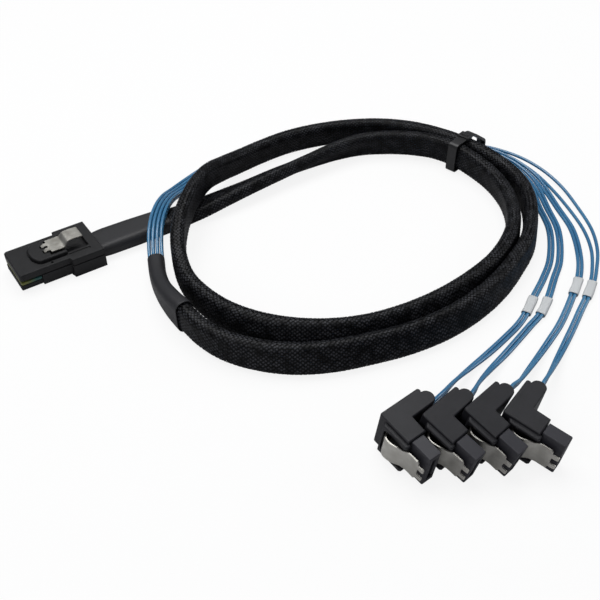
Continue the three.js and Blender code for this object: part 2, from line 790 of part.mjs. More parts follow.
function driveHousing() {
  const tongueLow = CARRIER_TRIM + TONGUE_TRIM - GAP;
  const tongueStart = ARM_LENGTH - TONGUE_LENGTH - GAP;
  const tongueFace = CARRIER_FACE + TONGUE_TRIM - GAP;
  const tongueBack = CARRIER_FACE + CARRIER_THICKNESS - TONGUE_TRIM + GAP;
  const leafWindow = roundedRectangle(ARM_LENGTH + 4 - WINDOW_START, 2 * WINDOW_HALF, 1.6);
  const windowCut = new THREE.ExtrudeGeometry(leafWindow, {
    depth: WINDOW_DEPTH + 1,
    bevelEnabled: false,
    curveSegments: 3,
  });
  windowCut.rotateX(Math.PI / 2);
  windowCut.translate((WINDOW_START + ARM_LENGTH + 4) / 2, WINDOW_DEPTH, LEAF_MIDDLE);
  const slitHalf = LEAF_ROOT_WIDTH / 2 + GAP;
  return cut(
    join(slab(driveOutline(), 0, DRIVE_HEIGHT, EDGE), latchGuard()),
    solid(windowCut),
    bar(
      WINDOW_START - SLIT_DEPTH,
      WINDOW_START + 1,
      0.25,
      1.35,
      LEAF_MIDDLE - slitHalf,
      LEAF_MIDDLE + slitHalf,
    ),
    bar(
      tongueStart,
      ARM_LENGTH + 1,
      tongueFace,
      tongueBack,
      tongueLow,
      DRIVE_HEIGHT - tongueLow,
    ),
  );
}

function contactCarrier() {
  const low = CARRIER_TRIM;
  const high = DRIVE_HEIGHT - CARRIER_TRIM;
  const face = CARRIER_FACE;
  const back = CARRIER_FACE + CARRIER_THICKNESS;
  const nose = polygon([
    [CARRIER_BACK, face],
    [CARRIER_FRONT - 0.3, face],
    [CARRIER_FRONT, face + 0.3],
    [CARRIER_FRONT, back - 0.3],
    [CARRIER_FRONT - 0.3, back],
    [CARRIER_BACK, back],
  ]);
  const tongue = bar(
    ARM_LENGTH - TONGUE_LENGTH,
    CARRIER_BACK + 1,
    face + TONGUE_TRIM,
    back - TONGUE_TRIM,
    low + TONGUE_TRIM,
    high - TONGUE_TRIM,
  );
  const slotStart = CARRIER_FRONT - SLOT_DEPTH;
  const slotFace = face + SLOT_WALL;
  const slotBack = slotFace + SLOT_HEIGHT;
  const slot = bar(slotStart, CARRIER_FRONT + 1, slotFace, slotBack, SLOT_LOW, SLOT_LOW + SLOT_WIDTH);
  const key = bar(
    slotStart,
    CARRIER_FRONT + 1,
    slotFace,
    slotBack + KEY_REACH,
    SLOT_LOW,
    SLOT_LOW + SLOT_HEIGHT,
  );
  const contacts = [];
  const firstContact = SLOT_LOW + SLOT_WIDTH - 0.9;
  for (let i = 0; i < CONTACT_COUNT; i++) {
    const middle = firstContact - i * CONTACT_PITCH;
    contacts.push(
      bar(
        slotStart - 0.5,
        CARRIER_FRONT - 0.8,
        slotFace - 0.5,
        slotFace + CONTACT_RAISE,
        middle - CONTACT_WIDTH / 2,
        middle + CONTACT_WIDTH / 2,
      ),
    );
  }
  return join(cut(join(slab(nose, low, high, 0.2), tongue), slot, key), ...contacts);
}

function driveLatch() {
  const root = WINDOW_START - SLIT_DEPTH + GAP;
  const depth = SHEET / 2;
  const side = bentStrip(
    [
      [root, 0.8],
      [WINDOW_START + 0.3, 0.8],
      [WINDOW_START + 1.4, -LEAF_PROUD * 0.45],
      [WINDOW_START + 2.4, -LEAF_PROUD * 0.9],
      [WINDOW_START + 4.0, -LEAF_PROUD],
      [WINDOW_START + 6.2, -LEAF_PROUD * 0.75],
      [LEAF_SHOULDER_START - 1.6, -LEAF_PROUD * 0.3],
      [LEAF_SHOULDER_START + 0.6, LEAF_FRONT],
      [CARRIER_FRONT - 1.0, LEAF_FRONT + 0.1],
      [CARRIER_FRONT + 0.1, LEAF_FRONT + 0.25],
    ],
    2 * depth,
  );
  const rootHalf = LEAF_ROOT_WIDTH / 2;
  const wide = LEAF_WIDTH / 2;
  const shoulder = LEAF_SHOULDER_WIDTH / 2;
  const outer = (LEAF_PRONG_SPACING + LEAF_PRONG_WIDTH) / 2;
  const inner = (LEAF_PRONG_SPACING - LEAF_PRONG_WIDTH) / 2;
  const half = [
    [root - 1, rootHalf],
    [WINDOW_START + 0.8, rootHalf],
    [WINDOW_START + 1.8, wide],
    [LEAF_SHOULDER_START - 3, wide],
    [LEAF_SHOULDER_START - 0.9, wide - 0.4],
    [LEAF_SHOULDER_START, shoulder],
    [LEAF_SHOULDER_END - 0.5, shoulder],
    [LEAF_SHOULDER_END, shoulder - 0.6],
    [LEAF_SHOULDER_END, outer],
    [CARRIER_FRONT + 1, outer],
    [CARRIER_FRONT + 1, inner],
    [LEAF_SHOULDER_END + 0.2, inner],
  ];
  const mirrored = half.map(([x, z]) => [x, -z]).reverse();
  const outline = polygon([...half, ...mirrored].reverse());
  const leaf = slab(side, -shoulder - 1, shoulder + 1).intersect(sideSlab(outline, -4, 4));
  return leaf.translate([0, 0, LEAF_MIDDLE]);
}

const housing = geometryOf(driveHousing());
const carrier = geometryOf(contactCarrier());
const leaf = geometryOf(driveLatch());

// A drive plug rests on the lower edge of its nose, so a dip raises its corner.
function drivePlug(pose, lane) {
  const group = new THREE.Group();
  const dip = THREE.MathUtils.degToRad(pose.dip);
  group.rotation.order = "ZYX";
  group.rotation.z = THREE.MathUtils.degToRad(pose.heading);
  group.rotation.y = dip;
  const lowest = CARRIER_FRONT * Math.sin(dip) - CARRIER_TRIM * Math.cos(dip);
  const heel = ARM_LENGTH * Math.sin(dip);
  group.position.set(pose.x, pose.y, Math.max(lowest, heel));
  add("lane" + lane + "_housing", housing, shellBlack, group);
  add("lane" + lane + "_contact_carrier", carrier, carrierBlack, group);
  add("lane" + lane + "_latch", leaf, steel, group);
  cable.add(group);
  group.updateMatrixWorld(true);
  return group;
}

const drivePlugs = DRIVE_POSES.map((pose, i) => drivePlug(pose, i + 1));

// The middle of a drive plug's boot, where its two wires go in, a gap away from it.
function bootMouth(group) {
  const middle = (BOOT_INSET + LEG_THICKNESS) / 2;
  const out = LEG_LENGTH + BOOT_LENGTH + 2 * GAP;
  return group.localToWorld(new THREE.Vector3(middle, out, DRIVE_HEIGHT / 2));
}

// Sleeve

const sleeveSection = roundedRectangle(SLEEVE_WIDTH, SLEEVE_THICKNESS, SLEEVE_CORNER);

function sleevePoint([x, y, turn, lift]) {
  const rest = restHeight(SLEEVE_WIDTH, SLEEVE_THICKNESS, SLEEVE_CORNER, turn);
  return new THREE.Vector3(x, y, rest + lift);
}

const sleeveCurve = new CordCurve(
  SLEEVE_ROUTE.map(sleevePoint),
  SLEEVE_ROUTE.map((row) => row[2]),
);
add("braided_sleeve", cordAlong(sleeveCurve, sleeveSection, SLEEVE_STEPS), braidBlack);

// Heat-shrink tubes

// A ring of points in the shape of the section, across a cord at one point.
function sectionRing(at, direction, turn, width, thickness, corner) {
  const across = widthAxis(direction, turn);
  const through = new THREE.Vector3().crossVectors(direction, across);
  return roundedRectangle(width, thickness, corner)
    .extractPoints(1)
    .shape.slice(0, 12)
    .map((p) => at.clone().addScaledVector(across, p.x).addScaledVector(through, p.y));
}

// A tube of changing section along a short curve: each station is a share of the curve's
// length, a turn, a width and a thickness.
function shrinkTube(curve, stations) {
  return loft(
    stations.map(([share, turn, width, thickness]) => {
      const at = curve.getPointAt(share);
      const direction = curve.getTangentAt(share);
      return sectionRing(at, direction, turn, width, thickness, 0.44 * thickness);
    }),
  );
}

const shrinkThickness = SLEEVE_THICKNESS + 2 * SHRINK_WALL;
const plugShrinkCurve = new THREE.CatmullRomCurve3([
  new THREE.Vector3(BODY_LENGTH / 2 + GAP, -1, SHRINK_HEIGHT),
  new THREE.Vector3(11, -1, SHRINK_HEIGHT),
  new THREE.Vector3(24, -1.4, SHRINK_HEIGHT),
  new THREE.Vector3(34.4, -1.6, SHRINK_HEIGHT),
]);
add(
  "plug_heat_shrink",
  shrinkTube(plugShrinkCurve, [
    [0, 0, PLUG_SHRINK_WIDTH - 0.6, 5.6],
    [0.12, 0, PLUG_SHRINK_WIDTH, 6.2],
    [0.4, 0, PLUG_SHRINK_WIDTH, 6.4],
    [0.7, 0, PLUG_SHRINK_WIDTH - 0.5, 6.5],
    [0.95, 0, PLUG_SHRINK_WIDTH - 1.0, shrinkThickness],
    [1, 0, PLUG_SHRINK_WIDTH - 1.2, shrinkThickness],
  ]),
  shrinkBlack,
);

const breakoutCurve = new THREE.CatmullRomCurve3([
  new THREE.Vector3(15.2, -62.2, 6.9),
  new THREE.Vector3(14.9, -53, 6.4),
  new THREE.Vector3(16.0, -43, 5.2),
  new THREE.Vector3(18.6, -33.5, 4.2),
  new THREE.Vector3(22.6, -23.7, 3.9),
]);
add(
  "breakout_heat_shrink",
  shrinkTube(breakoutCurve, [
    [0, -90, SLEEVE_WIDTH + 1.6, shrinkThickness + 0.4],
    [0.06, -90, SLEEVE_WIDTH + 1.4, shrinkThickness + 0.2],
    [0.26, -90, 11.8, 6.6],
    [0.5, -90, 9.2, 6.4],
    [0.76, -90, 7.4, 6.6],
    [0.94, -90, 6.6, 6.8],
    [1, -90, 6.4, 6.8],
  ]),
  shrinkBlack,
);

// Twin wires

function strandSection() {
  const corners = [];
  for (let i = 0; i < STRAND_SIDES; i++) {
    const angle = ((i + 0.5) * 2 * Math.PI) / STRAND_SIDES;
    corners.push([(STRAND / 2) * Math.cos(angle), (STRAND / 2) * Math.sin(angle)]);
  }
  return polygon(corners);
}

function pairHeight(turn, spread = 0) {
  const rise = Math.abs(Math.sin(THREE.MathUtils.degToRad(turn)));
  return STRAND / 2 + FLOOR_GAP + ((STRAND_SPACING + spread) / 2) * rise;
}

// The points and turns of a lane's middle line: first its place in the bundle, which is four
// lanes wide with the two wires of each one above the other, then its own way to the plug.
function laneLine(lane, group) {
  const offset = (lane - 1.5) * STRAND_SPACING;
  const bundle = BUNDLE_ROUTE.map(([x, y, lift], i) => {
    const [ax, ay] = BUNDLE_ROUTE[Math.max(i - 1, 0)];
    const [bx, by] = BUNDLE_ROUTE[Math.min(i + 1, BUNDLE_ROUTE.length - 1)];
    const side = leftOf(new THREE.Vector3(bx - ax, by - ay, 0));
    return new THREE.Vector3(x, y, pairHeight(90) + lift).addScaledVector(side, offset);
  });
  const own = LANE_ROUTES[lane].map(
    ([x, y, turn, lift, spread]) => new THREE.Vector3(x, y, pairHeight(turn, spread) + lift),
  );
  const rows = LANE_ROUTES[lane];
  const turns = [...bundle.map(() => 90), ...rows.map((row) => row[2]), 90];
  const line = new CordCurve([...bundle, ...own, bootMouth(group)], turns);
  line.spreads = [...bundle.map(() => 0), ...rows.map((row) => row[4] ?? 0), 0];
  return line;
}

// One wire of a lane, beside the lane's middle line.
function strandCurve(line, side) {
  const points = line.points.map((point, i) => {
    const u = i / (line.points.length - 1);
    const direction = line.getTangent(u);
    const across = widthAxis(direction, line.turns[i]);
    return point.clone().addScaledVector(across, (side * (STRAND_SPACING + line.spreads[i])) / 2);
  });
  return new CordCurve(points, line.turns.map(() => 0));
}

// The stretch of a lane that its label covers, as a curve of its own.
function labelCurve(line, row) {
  const total = line.getLength();
  const lengths = line.getLengths(line.points.length - 1);
  const start = lengths[BUNDLE_ROUTE.length + row] / lengths[lengths.length - 1];
  const span = LABEL_LENGTH / total;
  const shares = [0, 0.25, 0.5, 0.75, 1].map((share) => start + share * span);
  return new CordCurve(
    shares.map((share) => line.getPointAt(share)),
    shares.map((share) => line.turnAt(share)),
  );
}

function labelSection() {
  const width = STRAND_SPACING + STRAND + 2 * LABEL_EASE;
  const height = STRAND + 2 * LABEL_EASE;
  const shape = roundedRectangle(width + 2 * LABEL_WALL, height + 2 * LABEL_WALL, height / 2);
  shape.holes.push(roundedRectangle(width, height, height / 2 - LABEL_WALL));
  return shape;
}

drivePlugs.forEach((group, lane) => {
  const line = laneLine(lane, group);
  const name = "lane" + (lane + 1);
  add(name + "_wire_a", cordAlong(strandCurve(line, -1), strandSection(), STRAND_STEPS), wireBlue);
  add(name + "_wire_b", cordAlong(strandCurve(line, 1), strandSection(), STRAND_STEPS), wireBlue);
  add(name + "_label", cordAlong(labelCurve(line, LABEL_ROWS[lane]), labelSection(), 4), labelWhite);
});

// Cable tie, round both passes of the sleeve and the bundle, drawn with X from the inner pass
// outwards and Y up

function roundedPolygon(corners, radius) {
  const toward = ([x, y], [u, v]) => {
    const share = radius / Math.hypot(u - x, v - y);
    return [x + (u - x) * share, y + (v - y) * share];
  };
  const shape = new THREE.Shape();
  corners.forEach((corner, i) => {
    const start = toward(corner, corners.at(i - 1));
    const end = toward(corner, corners[(i + 1) % corners.length]);
    if (i === 0) shape.moveTo(...start);
    else shape.lineTo(...start);
    shape.quadraticCurveTo(...corner, ...end);
  });
  shape.closePath();
  return shape;
}

function tieRing(grow, length, start) {
  const left = -SLEEVE_THICKNESS / 2 - TIE_EASE - grow;
  const shoulder = TIE_SPAN + SLEEVE_THICKNESS / 2 + TIE_EASE + grow;
  const right = TIE_SPAN + TIE_BUNDLE_SPAN + 2 * STRAND_SPACING + TIE_EASE + grow;
  const bottom = TIE_WALL + FLOOR_GAP - grow;
  const low = TIE_LIFT + 2 * STRAND_SPACING + 2 * TIE_EASE + grow;
  const top = TIE_LIFT + SLEEVE_WIDTH + TIE_EASE + grow;
  const outline = roundedPolygon(
    [
      [left, bottom],
      [right, bottom],
      [right, low],
      [shoulder, top],
      [left, top],
    ],
    1.2 + grow,
  );
  return slab(outline, start, start + length, 0, 4);
}

function cableTie() {
  const [headX, headY, headZ] = TIE_HEAD;
  const start = TIE_HEAD_START;
  const top = TIE_LIFT + SLEEVE_WIDTH + TIE_EASE + TIE_WALL + 0.9;
  const head = bar(start, start + headX, top - headZ, top, -headY / 2, headY / 2);
  const stub = bar(
    start + 1.2,
    start + 2.4,
    top - 1,
    top + 0.6,
    -TIE_WIDTH / 2 + 0.6,
    TIE_WIDTH / 2 - 0.6,
  );
  return cut(
    join(tieRing(TIE_WALL, TIE_WIDTH, -TIE_WIDTH / 2), head, stub),
    tieRing(0, headY + 2, -headY / 2 - 1),
  );
}

const tie = add("cable_tie", geometryOf(cableTie()), tieBlack);
const [tieX, tieY] = SLEEVE_ROUTE[TIE_ROW];
tie.rotation.order = "ZYX";
tie.rotation.set(Math.PI / 2, 0, THREE.MathUtils.degToRad(TIE_HEADING));
tie.position.set(tieX, tieY, 0);

export default cable;
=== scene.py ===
"""The looks of a breakout cable: braided sleeve, twin wires, heat-shrink, plugs and latches.

Sizes and routes are in millimetres, as in the part's source, and MM turns them into metres.
"""

import math

import bmesh
import bpy
import numpy as np
from mathutils import Matrix, Vector


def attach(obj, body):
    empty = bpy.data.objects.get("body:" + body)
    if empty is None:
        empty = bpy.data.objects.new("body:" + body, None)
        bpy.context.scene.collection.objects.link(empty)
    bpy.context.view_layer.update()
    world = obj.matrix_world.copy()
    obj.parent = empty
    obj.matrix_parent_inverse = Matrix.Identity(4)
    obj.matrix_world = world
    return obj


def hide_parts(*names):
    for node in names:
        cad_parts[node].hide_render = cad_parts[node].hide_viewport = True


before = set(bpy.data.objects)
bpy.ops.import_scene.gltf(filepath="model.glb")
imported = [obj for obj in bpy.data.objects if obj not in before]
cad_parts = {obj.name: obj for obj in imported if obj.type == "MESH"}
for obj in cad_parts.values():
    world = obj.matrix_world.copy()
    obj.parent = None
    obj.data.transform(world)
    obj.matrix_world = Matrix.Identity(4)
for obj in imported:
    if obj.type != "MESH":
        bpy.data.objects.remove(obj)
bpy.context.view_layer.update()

MM = 0.001
ROOT = "cable"

# Flat plug, as in the part's source

NOSE_LENGTH = 20.9
BODY_LENGTH = 13.5
NOSE_FRONT = -NOSE_LENGTH - BODY_LENGTH / 2
PLUG_REAR = BODY_LENGTH / 2
PLATFORM_TOP = 10.0
GAP = 0.3
SHEET = 0.45
LATCH_TIP = 13.4
LATCH_PRONG_LENGTH = 2.2
LATCH_PRONG_WIDTH = 1.8
LATCH_PRONG_SPACING = 3.3
LATCH_SHOULDER_WIDTH = 8.2
LATCH_SHOULDER_LENGTH = 5.4
LATCH_TAB_WIDTH = 6.8
LATCH_TAB_START = 23.2
LATCH_TAB_END = 29.0
LATCH_RISE = 1.9
CARD_BOTTOM = 3.9
CARD_TOP = 4.9
MOUTH_TOP = 5.6
SEAM_STEP = 0.13  # how far each shell's lip is drawn towards the other
CARD_BLEND = (-0.0255, -0.0215)  # metres along the plug, where the card's colour changes
PAD_COUNT = 18
PAD_PITCH = 0.8
PAD_WIDTH = 0.54
PAD_HEIGHT = 0.11
PAD_START = 0.75
PAD_END = 5.9

# Drive plugs

DRIVE_HEIGHT = 14.9
ARM_LENGTH = 13.1
LEG_LENGTH = 17.7
LEG_THICKNESS = 6.7
BOOT_LENGTH = 2.4
BOOT_INSET = 1.5
CARRIER_FRONT = 21.4
CARRIER_FACE = 2.0
CARRIER_TRIM = 0.3
SLOT_WIDTH = 10.6
SLOT_WALL = 1.5
SLOT_DEPTH = 6.0
CONTACT_COUNT = 7
CONTACT_PITCH = 1.27
CONTACT_WIDTH = 0.68
CONTACT_HEIGHT = 0.24
CONTACT_EDGE = 0.9
CONTACT_RECESS = 0.7
WINDOW_START = 4.2
SLIT_DEPTH = 1.6
LEAF_MIDDLE = 7.2
LEAF_ROOT_WIDTH = 6.4
LEAF_WIDTH = 8.8
LEAF_SHOULDER_WIDTH = 8.8
LEAF_SHOULDER_START = 14.0
LEAF_SHOULDER_END = 19.0
LEAF_PRONG_WIDTH = 1.7
LEAF_PRONG_SPACING = 4.2
LEAF_PROUD = 2.0
LEAF_FRONT = 0.3
DRIVE_POSES = [
    (38.6, -143.4, -85.2, 7.5),
    (48.3, -150.7, -80.9, 11.0),
    (60.3, -156.2, -80.6, 12.0),
    (71.1, -164.3, -72.4, 6.0),
]

# Cords

SLEEVE_WIDTH = 12.0
SLEEVE_THICKNESS = 6.0
SLEEVE_CORNER = 2.6
FLOOR_GAP = 0.1
SHRINK_WALL = 0.4
SHRINK_ROUND = 0.42  # the corners' radius as a share of the thickness
PLUG_SHRINK_WIDTH = 14.4
TIE_LIFT = 1.2
STRAND = 1.36
STRAND_SPACING = 1.68
STRAND_SHOWN = 1.42  # drawn a hair wider and closer, so that a pair looks closed
PAIR_SHOWN = 1.5
WIRE_STEP = 1.25
WIRE_TUCK = (-2.0, -4.6, -0.4)  # from the breakout's mouth to the wire's start inside it
BOOT_SEAT = 0.6
LABEL_LENGTH = 10.0
LABEL_WIDER = 0.76
LABEL_HIGHER = 0.8
LABEL_WALL = 0.2
LABEL_ROWS = [8, 8, 7, 8]

# x, y, turn of the flat section in degrees, lift above the floor
SLEEVE_START = (27.0, -1.4, 0, 0.5)
SLEEVE_END = (14.95, -57.5, -90, 0.5)
SLEEVE_ROUTE = [
    (34.9, -1.6, 0, 0.2),
    (44, -2.2, -3, 0),
    (54, -2.4, -8, 0),
    (66, -2.2, -20, 0),
    (80, -1.6, -30, 0),
    (96, -0.4, -34, 0),
    (112, -0.2, -45, 0),
    (128, -0.8, -62, 0),
    (141, -3.2, -78, 0),
    (151.4, -9, -86, 0.4),
    (160.4, -16.8, -90, 0.9),
    (167.2, -25.9, -90, TIE_LIFT),
    (170.7, -36.3, -90, TIE_LIFT),
    (171.8, -47.5, -88, 0.7),
    (171.2, -59, -85, 0.2),
    (167.9, -70.3, -84, 0),
    (162.4, -80.4, -84, 0),
    (154.3, -89.9, -84, 0),
    (143.5, -97.7, -83, 0),
    (130.2, -103.8, -79, 0),
    (115.1, -107.4, -74, 0),
    (99, -109, -69, 0),
    (83, -108.2, -66, 0),
    (67.5, -104.9, -66, 0),
    (54, -98.8, -66, 0),
    (43, -90.6, -70, 0),
    (34.2, -80.4, -75, 0),
    (28.3, -69, -80, 0),
    (25.6, -57, -86, 0),
    (25.3, -46.3, -90, 0.4),
    (27.4, -36.5, -90, 1.8),
    (31.5, -27, -90, 4.0),
    (37.6, -18, -90, 6.0),
    (45, -9.8, -90, 7.0),
    (53.5, -1.8, -88, 7.2),
    (63, 5.2, -86, 6.4),
    (73.5, 11, -84, 3.4),
    (85.5, 15.4, -84, 0.9),
    (98.5, 17.9, -84, 0),
    (113, 18.2, -84, 0),
    (128, 15.6, -84, 0),
    (142.5, 10.4, -84, 0),
    (155.8, 2.2, -86, 0.2),
    (165.9, -8.9, -88, 0.7),
    (172.3, -20.5, -90, 1.0),
    (176.4, -32, -90, TIE_LIFT),
    (178.6, -42, -90, TIE_LIFT),
    (179.9, -52.8, -89, 0.5),
    (179.4, -63.8, -86, 0),
    (175.8, -74.5, -85, 0),
    (169.4, -84.2, -84, 0),
    (160.6, -93.4, -84, 0),
    (150.4, -101.6, -83, 0),
    (137.8, -107.9, -79, 0),
    (123.9, -113.4, -74, 0),
    (108.5, -117, -69, 0),
    (92.5, -118.2, -66, 0),
    (76.5, -116.6, -66, 0),
    (61.4, -112.7, -66, 0),
    (47.5, -107.8, -66, 0),
    (35.8, -101.1, -70, 0),
    (26.5, -92.3, -75, 0),
    (19.9, -82.5, -82, 0),
    (16.4, -72.4, -88, 0.4),
    (15.3, -63.2, -90, 0.8),
]
# x, y, lift of the four lanes together
BUNDLE_ROUTE = [
    (22.9, -23.2, 2.4),
    (25.2, -18.2, 3.6),
    (28.6, -12.2, 6.4),
    (33, -5.6, 7.4),
    (38.5, 1.2, 7.2),
    (45, 8.4, 5.0),
    (52.5, 14.8, 1.8),
    (61.5, 20.2, 0),
    (73, 24, 0),
    (87, 26.2, 0),
    (101, 26.6, 0),
    (116, 25.4, 0),
    (131, 22.4, 0),
    (146, 17, 0),
    (160, 8.6, 0.2),
    (172, -2.8, 0.8),
    (180.3, -17, 1.1),
    (185, -29.7, TIE_LIFT),
]
# x, y, turn of the two wires from side by side, lift, and where they part, how much
LANE_ROUTES = [
    [
        (188.2, -40.5, 90, 1.2),
        (191.6, -50.2, 75, 0.4),
        (190.6, -59.8, 50, 0),
        (186.9, -69.1, 20, 0),
        (179.5, -81.5, 0, 0),
        (171.3, -95.3, 0, 0),
        (156.7, -109.5, 0, 0),
        (145.7, -116.4, 0, 0.2),
        (133.6, -122.7, 0, 0.5),
        (125.7, -127, 0, 0.5),
        (118.6, -129.9, 0, 0.2),
        (109.2, -132.3, 0, 0),
        (98.2, -134.8, 10, 0.1),
        (87.4, -137.2, 40, 0.8),
        (76.5, -140.6, 70, 3.4),
        (66.8, -144.8, 90, 6.8),
    ],
    [
        (190.1, -39.6, 90, 1.2),
        (193.6, -50, 75, 0.4),
        (193, -60.3, 50, 0),
        (189.5, -70.6, 20, 0),
        (182.2, -83.7, 0, 0),
        (174, -97.6, 0, 0),
        (159.5, -112.1, 0, 0),
        (148.8, -119.1, 0, 0.2),
        (137.7, -126.3, 0, 0.5),
        (129.3, -130.7, 0, 0.5),
        (121.6, -132.9, 0, 0.2),
        (112.5, -135.6, 0, 0),
        (103.4, -138.4, 10, 0.1),
        (91.8, -142.2, 40, 1.6),
        (82, -146.6, 70, 5),
        (76, -150.1, 90, 7.8),
    ],
    [
        (192, -38.7, 90, 1.2),
        (195.6, -49.8, 75, 0.4),
        (195.4, -60.9, 50, 0),
        (192.1, -72.2, 20, 0),
        (186, -86.2, 0, 0),
        (179.2, -100.8, 0, 0),
        (166.6, -116.3, 0, 0.2),
        (156.4, -124.8, 0, 0.5),
        (147.7, -129.9, 0, 0.5),
        (139.4, -134.5, 0, 0.2),
        (130.5, -138.9, 0, 0),
        (122, -142.3, 10, 0),
        (113.6, -145.6, 30, 0.4),
        (103.6, -149.6, 50, 2),
        (93.4, -154, 75, 5.4),
        (87.2, -156.2, 90, 8.2),
    ],
    [
        (193.5, -38.1, 90, 1.2),
        (198.2, -49.6, 60, 0.2, 0.8),
        (199, -61.9, 30, 0, 1.8),
        (196.8, -75, 10, 0, 3),
        (191.6, -90, 0, 0, 2.8),
        (184.6, -104.6, 0, 0, 2),
        (176.4, -115.4, 0, 0, 1),
        (166.6, -124, 0, 0.2, 0.2),
        (159.4, -129.2, 0, 0.5),
        (150.5, -134.2, 0, 0.5),
        (143.7, -137.5, 0, 0.2),
        (135.7, -141.6, 0, 0),
        (126.8, -146, 10, 0.1),
        (116.2, -151.2, 40, 1),
        (106.4, -156.2, 70, 4.2),
        (98.2, -160, 90, 6.6),
    ],
]

# Camera and stage

CAMERA_PLACE = Vector((-76.1, -272.2, 217.5)) * MM
CAMERA_AIM = Vector((59.3, -72.2, 0)) * MM
CAMERA_LENS = 50.52  # millimetres, like the sensor's width
CAMERA_SENSOR = 36
WHITE = (1, 1, 1, 1)
WORLD_LIGHT = (0.15, 0.155, 0.165, 1)
FLOOR_SIZE = 6  # metres
FLOOR_PLACE = (0.08, -0.06, -0.00005)
FLOOR_LIT = (0.5, 0.5, 0.51, 1)  # for the light that the floor throws back
FLOOR_SEEN = (0.98, 0.98, 0.98, 1)  # for the camera
FLOOR_GLOW = 0.86  # share of the floor's white that no shadow takes away
LAMP_AIM = (0.08, -0.07, 0)
# name, place and size in metres, power in watts
LAMPS = [
    ("top_light", (0.1, 0.2, 0.8), (0.9, 0.6), 6.0),
    ("left_light", (-0.65, -0.35, 0.5), (0.4, 0.4), 1.6),
    ("right_light", (0.75, -0.3, 0.35), (0.3, 0.3), 0.8),
]


def make_camera():
    camera = bpy.data.objects.new("camera", bpy.data.cameras.new("camera"))
    camera.data.sensor_fit = "HORIZONTAL"
    camera.data.sensor_width = CAMERA_SENSOR
    camera.data.lens = CAMERA_LENS
    camera.data.clip_start = 0.01
    camera.location = CAMERA_PLACE
    camera.rotation_euler = (CAMERA_AIM - CAMERA_PLACE).to_track_quat("-Z", "Y").to_euler()
    bpy.context.collection.objects.link(camera)
    bpy.context.scene.camera = camera


def area_lamp(name, place, size, power):
    lamp = bpy.data.objects.new(name, bpy.data.lights.new(name, "AREA"))
    lamp.data.shape = "RECTANGLE"
    lamp.data.size, lamp.data.size_y = size
    lamp.data.energy = power
    lamp.location = place
    lamp.rotation_euler = (Vector(LAMP_AIM) - Vector(place)).to_track_quat("-Z", "Y").to_euler()
    bpy.context.collection.objects.link(lamp)


def make_world():
    scene = bpy.context.scene
    scene.view_settings.view_transform = "Standard"
    world = bpy.data.worlds.new("studio")
    scene.world = world
    world.use_nodes = True
    tree = world.node_tree
    ground = tree.nodes["Background"]
    path = tree.nodes.new("ShaderNodeLightPath")
    seen = tree.nodes.new("ShaderNodeMath")
    seen.operation = "MAXIMUM"
    mix = tree.nodes.new("ShaderNodeMix")
    mix.data_type = "RGBA"
    mix.inputs["A"].default_value = WORLD_LIGHT
    mix.inputs["B"].default_value = WHITE
    tree.links.new(path.outputs["Is Camera Ray"], seen.inputs[0])
    tree.links.new(path.outputs["Is Transmission Ray"], seen.inputs[1])
    tree.links.new(seen.outputs[0], mix.inputs["Factor"])
    tree.links.new(mix.outputs["Result"], ground.inputs["Color"])


def make_floor():
    bpy.ops.mesh.primitive_plane_add(size=FLOOR_SIZE, location=FLOOR_PLACE)
    floor = bpy.context.object
    floor.name = "floor"
    material = bpy.data.materials.new("floor")
    material.use_nodes = True
    tree = material.node_tree
    tree.nodes.clear()
    out = tree.nodes.new("ShaderNodeOutputMaterial")
    path = tree.nodes.new("ShaderNodeLightPath")
    share = tree.nodes.new("ShaderNodeMath")
    share.operation = "MULTIPLY"
    share.inputs[1].default_value = FLOOR_GLOW
    diffuse = tree.nodes.new("ShaderNodeBsdfDiffuse")
    shade = tree.nodes.new("ShaderNodeMix")
    shade.data_type = "RGBA"
    shade.inputs["A"].default_value = FLOOR_LIT
    shade.inputs["B"].default_value = FLOOR_SEEN
    tree.links.new(path.outputs["Is Camera Ray"], shade.inputs["Factor"])
    tree.links.new(shade.outputs["Result"], diffuse.inputs["Color"])
    glow = tree.nodes.new("ShaderNodeEmission")
    glow.inputs["Color"].default_value = WHITE
    mix = tree.nodes.new("ShaderNodeMixShader")
    tree.links.new(path.outputs["Is Camera Ray"], share.inputs[0])
    tree.links.new(share.outputs[0], mix.inputs["Fac"])
    tree.links.new(diffuse.outputs[0], mix.inputs[1])
    tree.links.new(glow.outputs[0], mix.inputs[2])
    tree.links.new(mix.outputs[0], out.inputs["Surface"])
    floor.data.materials.append(material)


def make_stage():
    make_world()
    make_floor()
    for name, place, size, power in LAMPS:
        area_lamp(name, place, size, power)


# Materials


def new_material(name, colour, roughness, metallic=0.0, specular=0.5):
    material = bpy.data.materials.new(name)
    material.use_nodes = True
    shader = material.node_tree.nodes["Principled BSDF"]
    shader.inputs["Base Color"].default_value = (*colour, 1)
    shader.inputs["Roughness"].default_value = roughness
    shader.inputs["Metallic"].default_value = metallic
    shader.inputs["Specular IOR Level"].default_value = specular
    return material


def add_node(material, kind, **inputs):
    node = material.node_tree.nodes.new(kind)
    for name, value in inputs.items():
        node.inputs[name.replace("_", " ")].default_value = value
    return node


def link(material, source, output, target, entry):
    material.node_tree.links.new(source.outputs[output], target.inputs[entry])


def shader_of(material):
    return material.node_tree.nodes["Principled BSDF"]


def add_math(material, operation, factor=None):
    node = material.node_tree.nodes.new("ShaderNodeMath")
    node.operation = operation
    if factor is not None:
        node.inputs[1].default_value = factor
    return node


